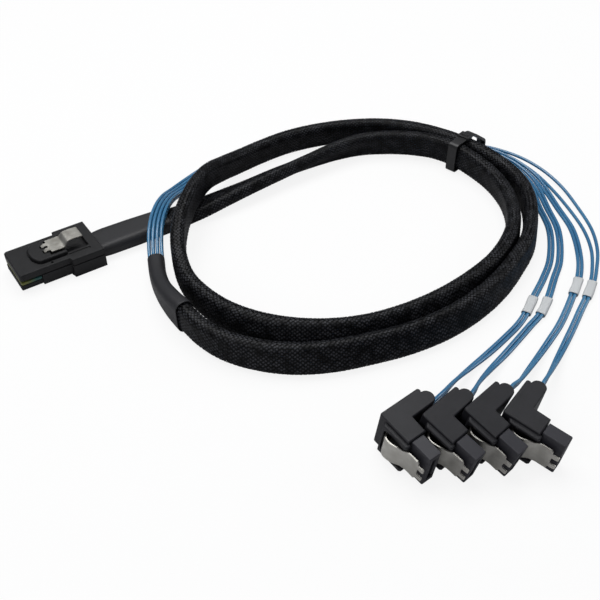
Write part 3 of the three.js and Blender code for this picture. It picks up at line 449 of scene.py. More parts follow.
def add_ramp(material, dark, light, low=0.0, high=1.0):
    """Two colours for the material, dark up to low and light from high on."""
    ramp = material.node_tree.nodes.new("ShaderNodeValToRGB")
    ramp.color_ramp.elements[0].position = low
    ramp.color_ramp.elements[1].position = high
    ramp.color_ramp.elements[0].color = (*dark, 1)
    ramp.color_ramp.elements[1].color = (*light, 1)
    link(material, ramp, "Color", shader_of(material), "Base Color")
    return ramp


def add_grain(material, scale, height, colours=None):
    """Fine bumps from object coordinates, and two shades between which the colour wanders."""
    place = add_node(material, "ShaderNodeTexCoord")
    noise = add_node(material, "ShaderNodeTexNoise", Scale=scale, Detail=3.0)
    bump = add_node(material, "ShaderNodeBump", Strength=0.5, Distance=height)
    link(material, place, "Object", noise, "Vector")
    link(material, noise, "Fac", bump, "Height")
    link(material, bump, "Normal", shader_of(material), "Normal")
    if colours:
        broad = add_node(material, "ShaderNodeTexNoise", Scale=scale / 12, Detail=2.0)
        ramp = add_ramp(material, *colours, 0.35, 0.65)
        link(material, place, "Object", broad, "Vector")
        link(material, broad, "Fac", ramp, "Fac")


def striped(material, stripes, height, dark, light):
    """Bumps and two colours in stripes across the surface's own coordinates."""
    place = add_node(material, "ShaderNodeTexCoord")
    wave = add_node(material, "ShaderNodeTexWave", Scale=stripes / 2)
    wave.wave_type = "BANDS"
    wave.bands_direction = "X"
    wave.wave_profile = "SIN"
    bump = add_node(material, "ShaderNodeBump", Strength=0.8, Distance=height)
    link(material, place, "UV", wave, "Vector")
    link(material, wave, "Fac", bump, "Height")
    link(material, bump, "Normal", shader_of(material), "Normal")
    ramp = add_ramp(material, dark, light, 0.2, 0.8)
    link(material, wave, "Fac", ramp, "Fac")


def blended(material, reach, near, far):
    """Two colours that pass into each other over a stretch of the object's own X."""
    place = add_node(material, "ShaderNodeTexCoord")
    split = add_node(material, "ShaderNodeSeparateXYZ")
    part = add_node(material, "ShaderNodeMapRange")
    part.inputs["From Min"].default_value = reach[0]
    part.inputs["From Max"].default_value = reach[1]
    ramp = add_ramp(material, near, far)
    link(material, place, "Object", split, "Vector")
    link(material, split, "X", part, "Value")
    link(material, part, "Result", ramp, "Fac")


def woven(material, dark, light):
    """A yarn's crown carries a painted highlight where it passes over the next, and painted shade at its
    edges and dips.

    The surface's own coordinates run across the yarn and, one for each crossing pair, along it.
    """
    place = add_node(material, "ShaderNodeTexCoord")
    split = add_node(material, "ShaderNodeSeparateXYZ")
    link(material, place, "UV", split, "Vector")
    turns = []
    for axis, factor, kind in (("X", math.pi, "SINE"), ("Y", 2 * math.pi, "COSINE")):
        angle = add_math(material, "MULTIPLY", factor)
        wave = add_math(material, kind)
        link(material, split, axis, angle, 0)
        link(material, angle, 0, wave, 0)
        turns.append(wave)
    # painted highlight on the crown, painted shade at the yarn's edges and dips
    crown = add_math(material, "MULTIPLY")
    link(material, turns[0], 0, crown, 0)
    link(material, turns[1], 0, crown, 1)
    uneven = add_node(material, "ShaderNodeTexNoise", Scale=260, Detail=3.0)
    share = material.node_tree.nodes.new("ShaderNodeMapRange")
    share.inputs["From Min"].default_value = 0.38
    share.inputs["From Max"].default_value = 0.62
    share.inputs["To Min"].default_value = 0.25
    # the painted highlight, mottled at random in tone
    mottled_crown_light = add_math(material, "MULTIPLY")
    link(material, place, "Object", uneven, "Vector")
    link(material, uneven, "Fac", share, "Value")
    link(material, share, "Result", mottled_crown_light, 0)
    link(material, crown, 0, mottled_crown_light, 1)
    ramp = add_ramp(material, dark, light, 0.05, 0.95)
    link(material, mottled_crown_light, 0, ramp, "Fac")


shell_look = new_material("plug_shell", (0.009, 0.009, 0.01), 0.5, specular=0.35)
add_grain(shell_look, 2500, 0.00002, ((0.007, 0.007, 0.008), (0.01, 0.01, 0.0112)))
housing_look = new_material("housing_shell", (0.0125, 0.0125, 0.015), 0.5, specular=0.4)
add_grain(housing_look, 2500, 0.00002, ((0.0098, 0.0098, 0.0128), (0.0136, 0.0136, 0.0172)))
carrier_look = new_material("contact_carrier", (0.03, 0.03, 0.037), 0.42, specular=0.4)
add_grain(carrier_look, 2500, 0.00001)
steel_look = new_material("latch_steel", (0.6, 0.58, 0.53), 0.42, metallic=1.0)
add_grain(steel_look, 3500, 0.000012, ((0.56, 0.545, 0.5), (0.66, 0.645, 0.6)))
# a darker, slightly rougher copy of the latch steel for the plug's latch: its colours carry painted shade
shaded_plug_steel_look = new_material("shaded_plug_latch_steel", (0.4, 0.39, 0.355), 0.46, metallic=1.0)
add_grain(shaded_plug_steel_look, 3500, 0.000016, ((0.33, 0.32, 0.29), (0.5, 0.49, 0.45)))
board_look = new_material("circuit_board", (0.02, 0.12, 0.1), 0.4)
blended(board_look, CARD_BLEND, (0.15, 0.16, 0.035), (0.012, 0.075, 0.07))
gold_look = new_material("contact_gold", (0.85, 0.60, 0.22), 0.3, metallic=1.0)
shrink_look = new_material("heat_shrink", (0.02, 0.02, 0.022), 0.5, specular=0.4)
add_grain(shrink_look, 350, 0.00012, ((0.018, 0.018, 0.02), (0.023, 0.023, 0.026)))
yarn_look = new_material("braid_yarn", (0.02, 0.02, 0.022), 0.42, specular=0.14)
# dark is painted shade at the yarns' edges and dips, light a painted highlight on their crowns
woven(yarn_look, (0.0008, 0.0008, 0.001), (0.052, 0.054, 0.062))
core_look = new_material("braid_core", (0.004, 0.004, 0.005), 0.6, specular=0.2)
striped(core_look, 22, 0.0002, (0.002, 0.0025, 0.003), (0.02, 0.035, 0.06))
wire_look = new_material("wire_jacket", (0.05, 0.2, 0.37), 0.2, specular=0.9)
add_grain(wire_look, 300, 0.00001, ((0.04, 0.17, 0.34), (0.06, 0.22, 0.4)))
label_look = new_material("label", (0.62, 0.64, 0.65), 0.55)
add_grain(label_look, 600, 0.00006)
tie_look = new_material("tie", (0.012, 0.012, 0.013), 0.4)
potting_look = new_material("potting", (0.01, 0.01, 0.011), 0.7)

# Meshes


def new_piece(name, vertices, faces, look, uvs=None, smooth=True):
    mesh = bpy.data.meshes.new(name)
    mesh.from_pydata([tuple(v) for v in vertices], [], [tuple(f) for f in faces])
    if uvs is not None:
        layer = mesh.uv_layers.new(name="UVMap")
        corner = np.zeros(len(mesh.loops), int)
        mesh.loops.foreach_get("vertex_index", corner)
        layer.data.foreach_set("uv", np.asarray(uvs, float)[corner].ravel())
    mesh.polygons.foreach_set("use_smooth", [smooth] * len(mesh.polygons))
    mesh.materials.append(look)
    piece = bpy.data.objects.new(name, mesh)
    bpy.context.collection.objects.link(piece)
    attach(piece, ROOT)
    return piece


def weighted(piece):
    """Flat faces stay flat, and only the rounded edges shade smoothly."""
    modifier = piece.modifiers.new("normals", "WEIGHTED_NORMAL")
    modifier.weight = 100
    bpy.context.view_layer.objects.active = piece
    piece.select_set(True)
    bpy.ops.object.modifier_apply(modifier=modifier.name)
    piece.select_set(False)


SHARP_ANGLE = 25  # degrees between faces, from which an edge is rounded


def bevel_edges(bm, width, segments):
    sharp = [
        e
        for e in bm.edges
        if len(e.link_faces) == 2 and e.calc_face_angle() > math.radians(SHARP_ANGLE)
    ]
    bmesh.ops.bevel(
        bm,
        geom=sharp,
        offset=width * MM,
        segments=segments,
        profile=0.5,
        affect="EDGES",
        clamp_overlap=True,
    )


def dressed(node, look, width, segments=2, close=None):
    """The node's own shape with its edges rounded, in place of the node.

    With close, a height and a step, the faces at that height move by the step.
    """
    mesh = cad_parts[node].data.copy()
    bm = bmesh.new()
    bm.from_mesh(mesh)
    bmesh.ops.remove_doubles(bm, verts=bm.verts, dist=1e-6)
    bmesh.ops.dissolve_limit(
        bm,
        angle_limit=math.radians(0.5),
        verts=bm.verts,
        edges=bm.edges,
    )
    if close:
        for v in bm.verts:
            if abs(v.co.z - close[0] * MM) < 0.01 * MM:
                v.co.z += close[1] * MM
    bevel_edges(bm, width, segments)
    for face in bm.faces:
        face.smooth = True
        face.material_index = 0
    bm.to_mesh(mesh)
    bm.free()
    mesh.materials.clear()
    mesh.materials.append(look)
    piece = bpy.data.objects.new(node + "_dressed", mesh)
    bpy.context.collection.objects.link(piece)
    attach(piece, ROOT)
    weighted(piece)
    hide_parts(node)
    return piece


# Lines through points


def smooth_line(points, step):
    """A centripetal curve through points: places, and how many rows along each place is."""
    points = np.asarray(points, float)
    padded = np.vstack([2 * points[0] - points[1], points, 2 * points[-1] - points[-2]])
    places = []
    rows = []
    for i in range(len(points) - 1):
        a, b, c, d = padded[i : i + 4]
        ab, bc, cd = (max(np.linalg.norm(q - p), 1e-6) ** 0.5 for p, q in ((a, b), (b, c), (c, d)))
        start = ((b - a) / ab - (c - a) / (ab + bc) + (c - b) / bc) * bc
        end = ((c - b) / bc - (d - b) / (bc + cd) + (d - c) / cd) * bc
        count = max(2, int(np.ceil(np.linalg.norm(c - b) / step)))
        t = (np.arange(count) / count)[:, None]
        places.append(
            b
            + start * t
            + (3 * (c - b) - 2 * start - end) * t**2
            + (2 * (b - c) + start + end) * t**3
        )
        rows.append(i + t[:, 0])
    places.append(points[-1:])
    rows.append(np.array([len(points) - 1.0]))
    return np.vstack(places), np.concatenate(rows)


def unit(vectors):
    return vectors / np.linalg.norm(vectors, axis=-1, keepdims=True)


def travelled(places):
    steps = np.linalg.norm(np.diff(places, axis=0), axis=1)
    return np.concatenate([[0], np.cumsum(steps)])


def section_axes(places, turns):
    """The axis across a cord at each place, turned from level, and the one at right angles."""
    tangents = unit(np.gradient(places, axis=0))
    level = unit(np.cross([0, 0, 1.0], tangents))
    angle = np.radians(turns)[:, None]
    across = level * np.cos(angle) + np.array([0, 0, 1.0]) * np.sin(angle)
    across = unit(across - tangents * np.sum(across * tangents, axis=1, keepdims=True))
    return across, np.cross(tangents, across)


class Cord:
    """A line that tells the place and the section's axes at any distance along it."""

    def __init__(self, points, turns, step=1.0):
        places, rows = smooth_line(points, step)
        bank = np.interp(rows, np.arange(len(turns)), turns)
        kernel = np.ones(9) / 9
        bank = np.convolve(np.pad(bank, 4, mode="edge"), kernel, mode="valid")
        self.places = places
        self.rows = rows
        self.across, self.through = section_axes(places, bank)
        self.along = travelled(places)
        self.length = self.along[-1]

    def at(self, distance):
        distance = np.clip(distance, 0, self.length)
        return [
            np.stack([np.interp(distance, self.along, table[:, k]) for k in range(3)], axis=-1)
            for table in (self.places, self.across, self.through)
        ]

    def distance_of_row(self, row):
        return float(np.interp(row, self.rows, self.along))


def rounded_section(shares, width, thickness, corner):
    """Points round a rounded rectangle at shares of its perimeter, and their outward normals."""
    x = width / 2 - corner
    y = thickness / 2 - corner
    lengths = np.array([2 * y, corner * np.pi / 2, 2 * x, corner * np.pi / 2] * 2)
    ends = np.cumsum(lengths)
    at = np.mod(shares, 1.0) * ends[-1]
    side = np.searchsorted(ends, at, side="right").clip(0, 7)
    local = at - (ends - lengths)[side]
    first = np.array([[x + corner, -y], [x, y], [x, y + corner], [-x, y]])
    heading = np.array([[0, 1], [0, 0], [-1, 0], [0, 0]])
    starts = np.vstack([first, -first])
    ways = np.vstack([heading, -heading])
    base = np.array([0, 0, 90, 90, 180, 180, 270, 270.0])
    curved = side % 2 == 1
    angle = np.radians(base[side]) + np.where(curved, local / corner, 0)
    normal = np.stack([np.cos(angle), np.sin(angle)], axis=-1)
    point = starts[side] + ways[side] * local[..., None] + np.where(curved[..., None], normal * corner, 0)
    return point, normal


def perimeter_of(width, thickness, corner):
    return 2 * (width + thickness - 4 * corner) + 2 * np.pi * corner


def grid_faces(rows, columns):
    """Quads of a grid of vertices, whose columns close into a ring."""
    i, j = np.meshgrid(np.arange(rows - 1), np.arange(columns), indexing="ij")
    a = i * columns + j
    b = i * columns + (j + 1) % columns
    faces = np.stack([a, b, b + columns, a + columns], axis=-1)
    return faces.reshape(-1, 4)


def rings_at(places, across, through, section):
    """The points of a section, one ring or one for each place, at every place of a line."""
    return places[:, None] + across[:, None] * section[..., :1] + through[:, None] * section[..., 1:]


def tube(name, places, across, through, section, look):
    """A closed mesh round a line, with the same ring of points all along it."""
    rings = rings_at(places, across, through, section)
    rows, columns = rings.shape[:2]
    u = np.broadcast_to(np.arange(columns) / columns, (rows, columns))
    v = np.broadcast_to(travelled(places)[:, None], (rows, columns))
    uvs = np.stack([u, v], axis=-1).reshape(-1, 2)
    faces = [list(f) for f in grid_faces(rows, columns)]
    faces.append(list(range(columns))[::-1])
    faces.append(list(range((rows - 1) * columns, rows * columns)))
    return new_piece(name, rings.reshape(-1, 3) * MM, faces, look, uvs=uvs)


# Sleeve

BRAID_YARNS = 20  # in each direction
BRAID_ANGLE = 42  # degrees from the sleeve's length
BRAID_COVER = 0.82  # share of the surface that the yarns of one direction would cover
BRAID_DEPTH = 0.16  # how far a yarn dives under the next
BRAID_STEP = 0.55
BRAID_WAVER = 0.12  # how far a yarn strays, as a share of the space between two
BRAID_OPEN_REACH = 30
CORE_INSET = 1.0
CORE_STATIONS = 430
CORE_SIDES = 32
CORE_STRETCH = 0.1  # turns of the core's own coordinates for each millimetre
BRAID_OPEN_ROWS = (11, 43)  # the route's rows near the tie, where the weave is stretched open
BRAID_OPEN = 0.22


def rest_height(turn):
    angle = math.radians(turn)
    upright = (SLEEVE_WIDTH / 2 - SLEEVE_CORNER) * abs(math.sin(angle))
    level = (SLEEVE_THICKNESS / 2 - SLEEVE_CORNER) * abs(math.cos(angle))
    return upright + level + SLEEVE_CORNER + FLOOR_GAP


def make_sleeve():
    rows = [SLEEVE_START, *SLEEVE_ROUTE, SLEEVE_END]
    points = [(x, y, rest_height(turn) + lift) for x, y, turn, lift in rows]
    cord = Cord(points, [row[2] for row in rows])
    perimeter = perimeter_of(SLEEVE_WIDTH, SLEEVE_THICKNESS, SLEEVE_CORNER)

    # the wires inside, seen through the braid
    stations = np.linspace(0, cord.length, CORE_STATIONS)
    places, across, through = cord.at(stations)
    shares = np.arange(CORE_SIDES) / CORE_SIDES
    ring, _ = rounded_section(
        shares,
        SLEEVE_WIDTH - CORE_INSET,
        SLEEVE_THICKNESS - CORE_INSET,
        SLEEVE_CORNER - CORE_INSET / 2,
    )
    core = rings_at(places, across, through, ring)
    vertices = [core.reshape(-1, 3)]
    spread = np.broadcast_arrays(shares, stations[:, None] * CORE_STRETCH)
    uvs = [np.stack(spread, axis=-1).reshape(-1, 2)]
    faces = [grid_faces(len(stations), len(shares))]
    core_faces = len(faces[0])

    # the yarns, which pass over and under each other
    pitch = perimeter / math.tan(math.radians(BRAID_ANGLE))
    lean = math.radians(BRAID_ANGLE)
    half = BRAID_COVER * perimeter / BRAID_YARNS * math.cos(lean) / 2
    stations = np.arange(0, cord.length, BRAID_STEP)
    wave = np.cos(2 * np.pi * BRAID_YARNS * stations / pitch)
    phase = BRAID_YARNS * stations / pitch
    opened = np.zeros(len(stations))
    for row in BRAID_OPEN_ROWS:
        away = (stations - cord.distance_of_row(row)) / BRAID_OPEN_REACH
        opened += BRAID_OPEN * np.exp(-(away**2))
    rng = np.random.default_rng(7)
    start = len(vertices[0])
    for way in (1, -1):
        for yarn in range(BRAID_YARNS):
            drift = np.sin(stations / rng.uniform(9, 17) + rng.uniform(0, 6))
            drift = BRAID_WAVER * drift / BRAID_YARNS
            for edge in (-1, 1):
                reach = edge * half * rng.uniform(0.94, 1.04) * (1 - opened)
                share = yarn / BRAID_YARNS + way * stations / pitch + drift
                share = share + reach * math.cos(lean) / perimeter
                rise = phase + (0.0 if way > 0 else 0.5)
                distance = stations - way * reach * math.sin(lean)
                places, across, through = cord.at(distance)
                ring, normal = rounded_section(
                    share, SLEEVE_WIDTH, SLEEVE_THICKNESS, SLEEVE_CORNER
                )
                ring = ring - normal * (BRAID_DEPTH * (1 - way * wave) + 0.02)[:, None]
                vertices.append(places + across * ring[:, :1] + through * ring[:, 1:])
                uvs.append(np.stack([np.full(len(stations), (edge + 1) / 2), rise], axis=-1))
            count = len(stations)
            a = np.arange(count - 1) + start
            strip = np.stack([a, a + count, a + count + 1, a + 1], axis=-1)
            faces.append(strip)
            start += 2 * count
    piece = new_piece(
        "sleeve",
        np.vstack(vertices) * MM,
        np.vstack(faces),
        core_look,
        uvs=np.vstack(uvs),
    )
    piece.data.materials.append(yarn_look)
    index = np.ones(len(piece.data.polygons), int)
    index[:core_faces] = 0
    piece.data.polygons.foreach_set("material_index", index)
    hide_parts("braided_sleeve")
    return piece, cord


# Twin wires


def drive_matrix(pose):
    x, y, heading, dip = pose
    angle = math.radians(dip)
    lowest = CARRIER_FRONT * math.sin(angle) - CARRIER_TRIM * math.cos(angle)
    heel = ARM_LENGTH * math.sin(angle)
    place = Matrix.Translation((x, y, max(lowest, heel)))
    return place @ Matrix.Rotation(math.radians(heading), 4, "Z") @ Matrix.Rotation(angle, 4, "Y")


def pair_height(turn, spread=0.0):
    return STRAND / 2 + FLOOR_GAP + (STRAND_SPACING + spread) / 2 * abs(math.sin(math.radians(turn)))


def lane_rows(lane):
    """A lane's middle line as points, turns and spreads, from inside the breakout to the boot."""
    offset = (lane - 1.5) * STRAND_SPACING
    plan = np.array([row[:2] for row in BUNDLE_ROUTE], float)
    heading = np.zeros((len(plan), 2))
    heading[1:-1] = plan[2:] - plan[:-2]
    heading[0] = plan[1] - plan[0]
    heading[-1] = plan[-1] - plan[-2]
    heading = unit(heading)
    side = np.stack([-heading[:, 1], heading[:, 0]], axis=-1)
    plan = plan + side * offset
    points = [(x, y, pair_height(90) + row[2]) for (x, y), row in zip(plan, BUNDLE_ROUTE)]
    turns = [90.0] * len(points)
    spreads = [0.0] * len(points)
    for row in LANE_ROUTES[lane]:
        x, y, turn, lift = row[:4]
        spread = row[4] if len(row) > 4 else 0.0
        points.append((x, y, pair_height(turn, spread) + lift))
        turns.append(turn)
        spreads.append(spread)
    middle = (BOOT_INSET + LEG_THICKNESS) / 2
    mouth = LEG_LENGTH + BOOT_LENGTH + 2 * GAP
    place = drive_matrix(DRIVE_POSES[lane])
    points.append(tuple(place @ Vector((middle, mouth, DRIVE_HEIGHT / 2))))
    turns.append(90.0)
    spreads.append(0.0)
    return np.array(points), np.array(turns), np.array(spreads), place, middle


def offset_points(points, turns, spreads, side):
    """The points of one wire beside the lane's middle line."""
    padded = np.vstack([2 * points[0] - points[1], points, 2 * points[-1] - points[-2]])
    before = np.linalg.norm(padded[1:-1] - padded[:-2], axis=1, keepdims=True) ** 0.5
    after = np.linalg.norm(padded[2:] - padded[1:-1], axis=1, keepdims=True) ** 0.5
    tangents = unit(
        (padded[1:-1] - padded[:-2]) / before
        - (padded[2:] - padded[:-2]) / (before + after)
        + (padded[2:] - padded[1:-1]) / after
    )
    level = unit(np.cross([0, 0, 1.0], tangents))
    angle = np.radians(turns)[:, None]
    across = level * np.cos(angle) + np.array([0, 0, 1.0]) * np.sin(angle)
    return points + across * (side * (PAIR_SHOWN + spreads[:, None]) / 2)


def make_wire(lane, side):
    points, turns, spreads, place, middle = lane_rows(lane)
    points = offset_points(points, turns, spreads, side)
    inside = (points[0] + np.array(WIRE_TUCK))[None]
    height = DRIVE_HEIGHT / 2 + side * STRAND_SPACING / 2
    boot = np.array(place @ Vector((middle, LEG_LENGTH + BOOT_SEAT, height)))[None]
    line = np.vstack([inside, points, boot])
    cord = Cord(line, [0.0] * len(line))
    stations = np.linspace(0, cord.length, int(cord.length / WIRE_STEP))
    places, across, through = cord.at(stations)
    angles = np.arange(14) / 14 * 2 * np.pi
    ring = np.stack([np.cos(angles), np.sin(angles)], axis=-1) * STRAND_SHOWN / 2
    letter = "a" if side < 0 else "b"
    name = "lane%d_wire_%s" % (lane + 1, letter)
    wire = tube(name + "_jacket", places, across, through, ring, wire_look)
    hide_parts(name)
    return wire, cord, places


def make_label(lane):
    points, turns, spreads, _, _ = lane_rows(lane)
    cord = Cord(points, turns)
    start = cord.distance_of_row(len(BUNDLE_ROUTE) + LABEL_ROWS[lane])
    stations = np.linspace(start, start + LABEL_LENGTH, 18)
    places, across, through = cord.at(stations)
    shares = np.arange(28) / 28
    width = STRAND_SPACING + STRAND + LABEL_WIDER
    height = STRAND + LABEL_HIGHER
    corner = height / 2 - 0.05
    wall = 2 * LABEL_WALL
    outer, _ = rounded_section(shares, width, height, corner)
    inner, _ = rounded_section(shares, width - wall, height - wall, corner - LABEL_WALL)
    share = np.linspace(0, 1, 18)[:, None, None]
    puff = 1 + 0.035 * np.sin(share * 7 + lane) * np.array([1, -1.0])
    outside = outer[None] * puff
    inside = (inner[None] * puff)[::-1]
    section = np.concatenate([outside, inside])
    places = np.concatenate([places, places[::-1]])
    across = np.concatenate([across, across[::-1]])
    through = np.concatenate([through, through[::-1]])
    rings = rings_at(places, across, through, section)
    rows, columns = rings.shape[:2]
    faces = grid_faces(rows, columns)
    last = (rows - 1) * columns + np.arange(columns)
    first = np.arange(columns)
    close = np.stack([last, np.roll(last, -1), np.roll(first, -1), first], axis=-1)
    node = "lane%d_label" % (lane + 1)
    piece = new_piece(
        node + "_sleeve",
        rings.reshape(-1, 3) * MM,
        np.vstack([faces, close]),
        label_look,
    )
    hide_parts(node)
    return piece


# Heat-shrink tubes


def shrink_tube(name, node, points, turns, stations):
    """A tube whose section changes by stations: share of its length, width and thickness."""
    cord = Cord(points, turns, step=0.5)
    shares = np.arange(40) / 40
    table = np.array(stations, float)
    at = np.linspace(0, 1, 60)
    width = np.interp(at, table[:, 0], table[:, 1])
    thickness = np.interp(at, table[:, 0], table[:, 2])
    kernel = np.ones(5) / 5
    width = np.convolve(np.pad(width, 2, mode="edge"), kernel, mode="valid")
    thickness = np.convolve(np.pad(thickness, 2, mode="edge"), kernel, mode="valid")
    rings = []
    for share, wide, thick in zip(at, width, thickness):
        ring, _ = rounded_section(shares, wide, thick, SHRINK_ROUND * thick)
        places, across, through = cord.at(share * cord.length)
        rings.append(places + across * ring[:, :1] + through * ring[:, 1:])
    # the cut edge turns inwards
    for inset in (0.3, 0.9):
        corner = SHRINK_ROUND * thick - inset
        ring, _ = rounded_section(shares, wide - 2 * inset, thick - 2 * inset, corner)
        places, across, through = cord.at(cord.length - inset)
        rings.append(places + across * ring[:, :1] + through * ring[:, 1:])
    rings = np.array(rings)
    rows, columns = rings.shape[:2]
    faces = [list(f) for f in grid_faces(rows, columns)]
    faces.append(list(range(columns))[::-1])
    piece = new_piece(name, rings.reshape(-1, 3) * MM, faces, shrink_look)
    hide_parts(node)
    return piece


def make_shrinks():
    height = SLEEVE_THICKNESS / 2 + SHRINK_WALL + FLOOR_GAP
    plug = shrink_tube(
        "plug_shrink",
        "plug_heat_shrink",
        [(PLUG_REAR + GAP, -1, height), (11, -1, height), (24, -1.4, height), (38.4, -1.8, height)],
        [0, 0, 0, 0],
        [
            (0, PLUG_SHRINK_WIDTH - 0.6, 5.6),
            (0.12, PLUG_SHRINK_WIDTH, 6.2),
            (0.5, PLUG_SHRINK_WIDTH - 0.2, 6.5),
            (0.85, PLUG_SHRINK_WIDTH - 1.2, SLEEVE_THICKNESS + 2 * SHRINK_WALL),
            (1, PLUG_SHRINK_WIDTH - 1.4, SLEEVE_THICKNESS + 2 * SHRINK_WALL),
        ],
    )
    breakout = shrink_tube(
        "breakout_shrink",
        "breakout_heat_shrink",
        [
            (22.6, -23.7, 3.9),
            (18.6, -33.5, 4.2),
            (16.0, -43, 5.2),
            (14.9, -53, 6.4),
            (15.2, -62.6, 6.9),
        ],
        [-90] * 5,
        [
            (0, 6.4, 6.8),
            (0.24, 7.4, 6.6),
            (0.5, 9.2, 6.4),
            (0.74, 11.8, 6.6),
            (0.94, 13.3, 7.0),
            (1, 13.5, 7.1),
        ],
    )
    return plug, breakout


# Stamped latches

LEAF_CORNER = 0.35
ARC_STEPS = 4


def rounded_corners(corners, radius):
    """The outline with each corner cut by a short arc, radius at most a third of its sides."""
    corners = np.array(corners, float)
    out = []
    for i, corner in enumerate(corners):
        before = corners[i - 1] - corner
        after = corners[(i + 1) % len(corners)] - corner
        reach = min(radius, np.linalg.norm(before) / 3, np.linalg.norm(after) / 3)
        a = corner + unit(before) * reach
        b = corner + unit(after) * reach
        for t in np.linspace(0, 1, ARC_STEPS):
            out.append((1 - t) ** 2 * a + 2 * t * (1 - t) * corner + t**2 * b)
    return np.array(out)


def bent_leaf(name, outline, profile, place, node, look):
    """A flat outline in length and width, bent along a profile of length and height."""
    flat = rounded_corners(outline, LEAF_CORNER)
    bm = bmesh.new()
    bm.faces.new([bm.verts.new((x, y, 0)) for x, y in flat])
    low, high = flat[:, 0].min(), flat[:, 0].max()
    for x in np.arange(low + 0.2, high, 0.3):
        bmesh.ops.bisect_plane(
            bm,
            geom=bm.verts[:] + bm.edges[:] + bm.faces[:],
            plane_co=(x, 0, 0),
            plane_no=(1, 0, 0),
        )
    top = bm.faces[:]
    made = bmesh.ops.extrude_face_region(bm, geom=top)
    moved = [v for v in made["geom"] if isinstance(v, bmesh.types.BMVert)]
    bmesh.ops.translate(bm, verts=moved, vec=(0, 0, 1))
    bmesh.ops.recalc_face_normals(bm, faces=bm.faces)
    line, _ = smooth_line([(x, 0, z) for x, z in profile], 0.2)
    slope = np.gradient(line[:, 2], line[:, 0])
    for v in bm.verts:
        x = v.co.x
        height = np.interp(x, line[:, 0], line[:, 2])
        tilt = math.atan(np.interp(x, line[:, 0], slope))
        side = (v.co.z - 0.5) * SHEET
        v.co = Vector((x - side * math.sin(tilt), v.co.y, height + side * math.cos(tilt)))
    bmesh.ops.transform(bm, matrix=place, verts=bm.verts)
    bmesh.ops.scale(bm, vec=(MM, MM, MM), verts=bm.verts)
    mesh = bpy.data.meshes.new(name)
    bm.to_mesh(mesh)
    bm.free()
    for polygon in mesh.polygons:
        polygon.use_smooth = True
    mesh.materials.append(look)
    mesh.set_sharp_from_angle(angle=math.radians(40))
    piece = bpy.data.objects.new(name, mesh)
    bpy.context.collection.objects.link(piece)
    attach(piece, node)
    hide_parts(node)
    return piece


def mirrored_outline(half):
    other = [(x, -y) for x, y in reversed(half)]
    return [*half, *other]


def make_plug_latch():
    low = PLATFORM_TOP + GAP + SHEET / 2
    high = low + LATCH_RISE
    shoulder = LATCH_TIP + LATCH_PRONG_LENGTH
    waist = shoulder + LATCH_SHOULDER_LENGTH
    wide = LATCH_SHOULDER_WIDTH / 2
    tab = LATCH_TAB_WIDTH / 2
    outer = (LATCH_PRONG_SPACING + LATCH_PRONG_WIDTH) / 2
    inner = (LATCH_PRONG_SPACING - LATCH_PRONG_WIDTH) / 2
    half = [
        (shoulder - 0.2, inner),
        (LATCH_TIP, inner),
        (LATCH_TIP, outer),
        (shoulder, outer),
        (shoulder, wide),
        (waist, wide),
        (waist + 1.2, tab),
        (LATCH_TAB_END, tab),
    ]
    profile = [
        (LATCH_TIP - 0.2, low - 0.55),
        (LATCH_TIP + 0.9, low - 0.1),
        (shoulder, low),
        (waist - 0.6, low),
        (waist + 0.4, low + 0.3),
        (LATCH_TAB_START - 0.6, high - 0.3),
        (LATCH_TAB_START + 0.4, high),
        (LATCH_TAB_END - 0.6, high),
        (LATCH_TAB_END + 0.3, high - 0.2),
    ]
    place = Matrix.Translation((NOSE_FRONT, 0, 0))
    return bent_leaf(
        "sas_latch_leaf",
        mirrored_outline(half),
        profile,
        place,
        "sas_latch",
        shaded_plug_steel_look,
    )


def make_drive_latch(lane):
    root = WINDOW_START - SLIT_DEPTH + GAP
    root_half = LEAF_ROOT_WIDTH / 2
    wide = LEAF_WIDTH / 2
    shoulder = LEAF_SHOULDER_WIDTH / 2
    outer = (LEAF_PRONG_SPACING + LEAF_PRONG_WIDTH) / 2
    inner = (LEAF_PRONG_SPACING - LEAF_PRONG_WIDTH) / 2
    half = [
        (LEAF_SHOULDER_END + 0.2, inner),
        (CARRIER_FRONT, inner),
        (CARRIER_FRONT, outer),
        (LEAF_SHOULDER_END, outer),
        (LEAF_SHOULDER_END, shoulder - 0.6),
        (LEAF_SHOULDER_END - 0.5, shoulder),
        (LEAF_SHOULDER_START, shoulder),
        (LEAF_SHOULDER_START - 0.9, wide - 0.4),
        (LEAF_SHOULDER_START - 3, wide),
        (WINDOW_START + 1.8, wide),
        (WINDOW_START + 0.8, root_half),
        (root, root_half),
    ]
    profile = [
        (root - 0.2, -0.8),
        (WINDOW_START + 0.3, -0.8),
        (WINDOW_START + 1.4, LEAF_PROUD * 0.45),
        (WINDOW_START + 2.4, LEAF_PROUD * 0.9),
        (WINDOW_START + 4.0, LEAF_PROUD),
        (WINDOW_START + 6.2, LEAF_PROUD * 0.75),
        (LEAF_SHOULDER_START - 1.6, LEAF_PROUD * 0.3),
        (LEAF_SHOULDER_START + 0.6, -LEAF_FRONT),
        (CARRIER_FRONT - 1.0, -LEAF_FRONT - 0.1),
        (CARRIER_FRONT + 0.3, -LEAF_FRONT - 0.3),
    ]
    # the leaf's height stands out of the plug's side, towards its -Y
    turned = Matrix.Translation((0, 0, LEAF_MIDDLE)) @ Matrix.Rotation(math.pi / 2, 4, "X")
    node = "lane%d_latch" % (lane + 1)
    return bent_leaf(
        node + "_leaf",
        mirrored_outline(half),
        profile,
        drive_matrix(DRIVE_POSES[lane]) @ turned,
        node,
        steel_look,
    )


# Boxes gathered into one piece


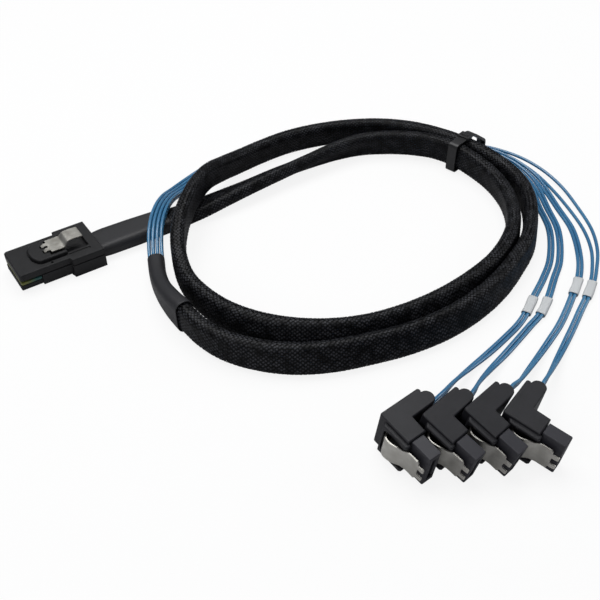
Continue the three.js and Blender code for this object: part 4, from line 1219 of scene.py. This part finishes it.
def bars(name, boxes, look, place=None):
    vertices = []
    faces = []
    corner_faces = [(0, 3, 2, 1), (4, 5, 6, 7), (0, 1, 5, 4), (1, 2, 6, 5), (2, 3, 7, 6), (3, 0, 4, 7)]
    for x0, x1, y0, y1, z0, z1 in boxes:
        start = len(vertices)
        for z in (z0, z1):
            vertices += [(x0, y0, z), (x1, y0, z), (x1, y1, z), (x0, y1, z)]
        faces += [tuple(start + i for i in face) for face in corner_faces]
    matrix = place or Matrix.Identity(4)
    vertices = [(matrix @ Vector(v)) * MM for v in vertices]
    return new_piece(name, vertices, faces, look, smooth=False)


def make_pads():
    boxes = []
    start = NOSE_FRONT + PAD_START
    end = NOSE_FRONT + PAD_END
    for i in range(PAD_COUNT):
        y = (i - (PAD_COUNT - 1) / 2) * PAD_PITCH
        for z0, z1 in ((CARD_TOP, CARD_TOP + PAD_HEIGHT), (CARD_BOTTOM - PAD_HEIGHT, CARD_BOTTOM)):
            boxes.append((start, end, y - PAD_WIDTH / 2, y + PAD_WIDTH / 2, z0, z1))
    return bars("card_pads", boxes, gold_look)


def make_contacts(lane):
    low = (DRIVE_HEIGHT - SLOT_WIDTH) / 2
    face = CARRIER_FACE + SLOT_WALL
    start = CARRIER_FRONT - SLOT_DEPTH
    end = CARRIER_FRONT - CONTACT_RECESS
    half = CONTACT_WIDTH / 2
    boxes = []
    for i in range(CONTACT_COUNT):
        z = low + SLOT_WIDTH - CONTACT_EDGE - i * CONTACT_PITCH
        boxes.append((start, end, face, face + CONTACT_HEIGHT, z - half, z + half))
    name = "lane%d_contacts" % (lane + 1)
    place = drive_matrix(DRIVE_POSES[lane])
    return bars(name, boxes, gold_look, place)


# Everything in order

make_camera()
make_stage()

sleeve, sleeve_cord = make_sleeve()
plug_shrink, breakout_shrink = make_shrinks()
tie = dressed("cable_tie", tie_look, 0.15)

for lane in range(4):
    label = make_label(lane)
    for side in (-1, 1):
        wire, wire_cord, wire_places = make_wire(lane, side)
    number = lane + 1
    dressed("lane%d_housing" % number, housing_look, 0.16)
    dressed("lane%d_contact_carrier" % number, carrier_look, 0.08)
    make_contacts(lane)
    make_drive_latch(lane)

dressed("sas_top_shell", shell_look, 0.14, close=(MOUTH_TOP, -SEAM_STEP))
dressed("sas_bottom_shell", shell_look, 0.14, close=(MOUTH_TOP - GAP, SEAM_STEP))
dressed("sas_paddle_card", board_look, 0.02, 1)
dressed("sas_wire_potting", potting_look, 0.05, 1)
make_pads()
make_plug_latch()
